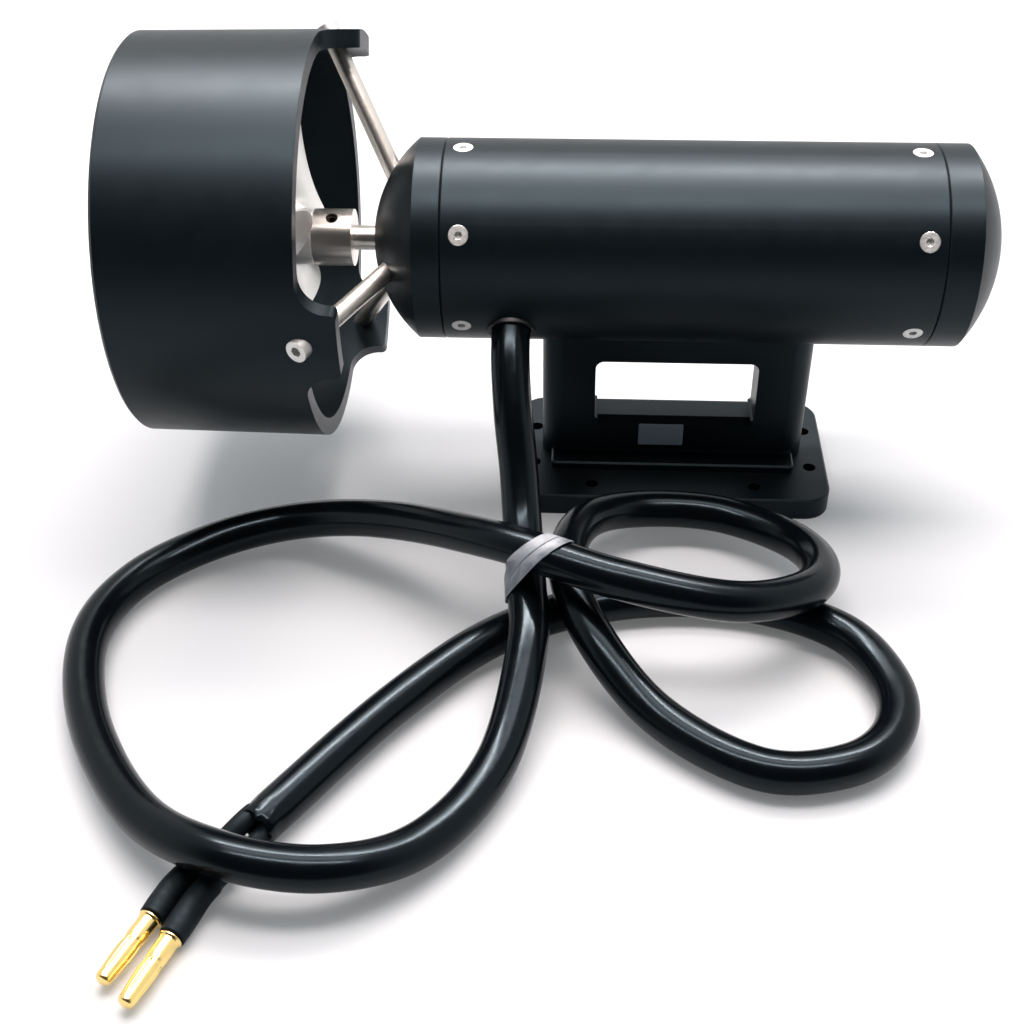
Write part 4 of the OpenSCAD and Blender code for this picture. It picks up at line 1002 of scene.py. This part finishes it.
class PlateOperator(bpy.types.Operator):
    """Sticks the bare grey plate to the front of the pedestal"""
    bl_idname = "thruster.bare_plate"
    bl_label = "Bare plate"

    def execute(self, context):
        """Rounded outline in layers, each a share of its size at a depth, closed in front."""
        sizes = context.scene.thruster_sizes
        t = sizes.plate_t
        edge = rounded_box(sizes.plate_w / 2, sizes.plate_h / 2, 0.5 * MM)
        layers = np.array([[1.0, 0.0], [1.0, -0.7 * t], [0.985, -t], [0.95, -t], [0.9, -t]])
        x, z = edge[None, :, 0], edge[None, :, 1]
        grid = np.stack([x * layers[:, :1], layers[:, 1:] + 0 * x, z * layers[:, :1]], axis=-1)
        make_piece("bare_plate", [capped(grid + PLATE_CENTRE)],
                   brushed_plate(context.scene.thruster_colours), "frame")
        return {"FINISHED"}


class AnodisedOperator(bpy.types.Operator):
    """Gives housing, caps, nozzle, pedestal and base plate their black finish"""
    bl_idname = "thruster.anodised_pieces"
    bl_label = "Anodised pieces"

    def execute(self, context):
        dress(anodised_aluminium(context.scene.thruster_colours),
              "motor_housing", "front_cap", "rear_cap", "nozzle", "pedestal", "base_plate")
        return {"FINISHED"}


class SteelOperator(bpy.types.Operator):
    """Gives the collar, the washer, the struts and the screws their steel finishes"""
    bl_idname = "thruster.steel_pieces"
    bl_label = "Steel pieces"

    def execute(self, context):
        colours = context.scene.thruster_colours
        dress(turned_stainless(colours), "hub_collar", "prop_washer")
        dress(ground_rod(colours), "strut_front", "strut_top", "strut_back")
        dress(tumbled_stainless(colours), "front_cap_screws", "rear_cap_screws", "strut_screws",
              "foot_screws", "saddle_screws", "motor_screws")
        # Alloy steel, blackened in hot salts: nearly black, with a dull brown sheen
        dress(plain_finish("black_oxide_steel", "#2b2922", 1, 0.42, 0.8), "set_screw")
        return {"FINISHED"}


# Finishes inside: name, colour, metal, roughness, size of the pattern in mm, its stretch, nodes
INNER_FINISHES = (
    # Nitrile rubber from a mould: dull black with a faint skin
    ("moulded_seal_rubber", "#15171a", 0, 0.5, 1.5, EVEN,
     ("front_o_rings", "rear_o_rings", "shaft_seals", "cable_bush")),
    # Bearing steel, ground and lapped: bright and smooth
    ("ground_bearing_steel", "#c4c4c2", 1, 0.2, 1.0, EVEN, ("front_bearing", "rear_bearing")),
    # Pressed steel, zinc plated: grey with soft clouds
    ("zinc_plated_steel", "#9fa3a6", 1, 0.4, 4, EVEN, ("motor_front_plate", "motor_can")),
    # Aluminium alloy, machined: pale with lines from the cutter
    ("machined_alloy", "#c9cacb", 1, 0.4, 1, LINES, ("motor_rear_bell",)),
    # Sheet steel, punched and stacked: grey rings, each about as wide as a sheet is thick
    ("stacked_lamination", "#6d6f70", 1, 0.45, 0.5, RINGS, ("armature_core",)),
    # Copper, drawn and enamelled: warm lines along the wire
    ("enamelled_copper", "#b4683a", 1, 0.3, 0.8, LONG_LINES, ("armature_windings", "commutator")),
    # Ferrite, pressed, fired and ground: a dark matte grain
    ("ground_ferrite", "#3a3c3e", 0, 0.6, 0.7, EVEN, ("field_magnets",)),
    # Carbon powder, pressed: black with a fine grain
    ("pressed_carbon", "#2b2b2c", 0, 0.5, 0.5, EVEN, ("carbon_brushes",)),
    # Brass, drawn: yellow with lines along its length
    ("drawn_brass", "#c79a46", 1, 0.3, 1.2, LONG_LINES, ("brush_holders",)),
    # Vinyl, extruded: smooth and red
    ("lead_insulation", "#8f2a24", 0, 0.4, 2, EVEN, ("motor_leads",)),
)


class InnerOperator(bpy.types.Operator):
    """Gives the seals, the bearings and the motor inside the housing their finishes"""
    bl_idname = "thruster.inner_pieces"
    bl_label = "Inner pieces"

    def execute(self, context):
        for *finish, nodes in INNER_FINISHES:
            dress(plain_finish(*finish), *nodes)
        return {"FINISHED"}


class ThrusterPanel(bpy.types.Panel):
    """Lists the pieces of the thruster and their settings"""
    bl_idname = "VIEW3D_PT_thruster"
    bl_label = "Thruster"
    bl_space_type = "VIEW_3D"
    bl_region_type = "UI"
    bl_category = "Thruster"

    def draw(self, context):
        for operator in OPERATORS:
            self.layout.operator(operator.bl_idname)
        for group in GROUPS:
            box = self.layout.box()
            settings = getattr(context.scene, group)
            for name in settings.bl_rna.properties.keys():
                if name not in ("rna_type", "name"):
                    box.prop(settings, name)


GROUPS = {
    "thruster_sizes": ThrusterSizes,
    "thruster_colours": ThrusterColours,
    "thruster_studio": ThrusterStudio,
}
OPERATORS = (
    StageOperator, CableOperator, LeadsOperator, PlugsOperator, TieOperator, PropellerOperator,
    ShaftOperator, PlateOperator, AnodisedOperator, SteelOperator, InnerOperator)


def register():
    """Registers the settings, the operators and the panel."""
    for name, group in GROUPS.items():
        bpy.utils.register_class(group)
        setattr(bpy.types.Scene, name, bpy.props.PointerProperty(type=group))
    for item in (*OPERATORS, ThrusterPanel):
        bpy.utils.register_class(item)


def unregister():
    """Takes the panel, the operators and the settings out again."""
    for item in (ThrusterPanel, *reversed(OPERATORS)):
        bpy.utils.unregister_class(item)
    for name, group in GROUPS.items():
        delattr(bpy.types.Scene, name)
        bpy.utils.unregister_class(group)


def main():
    """Makes every piece in order."""
    register()
    for operator in OPERATORS:
        folder, name = operator.bl_idname.split(".")
        getattr(getattr(bpy.ops, folder), name)()


if __name__ == "__main__":
    main()
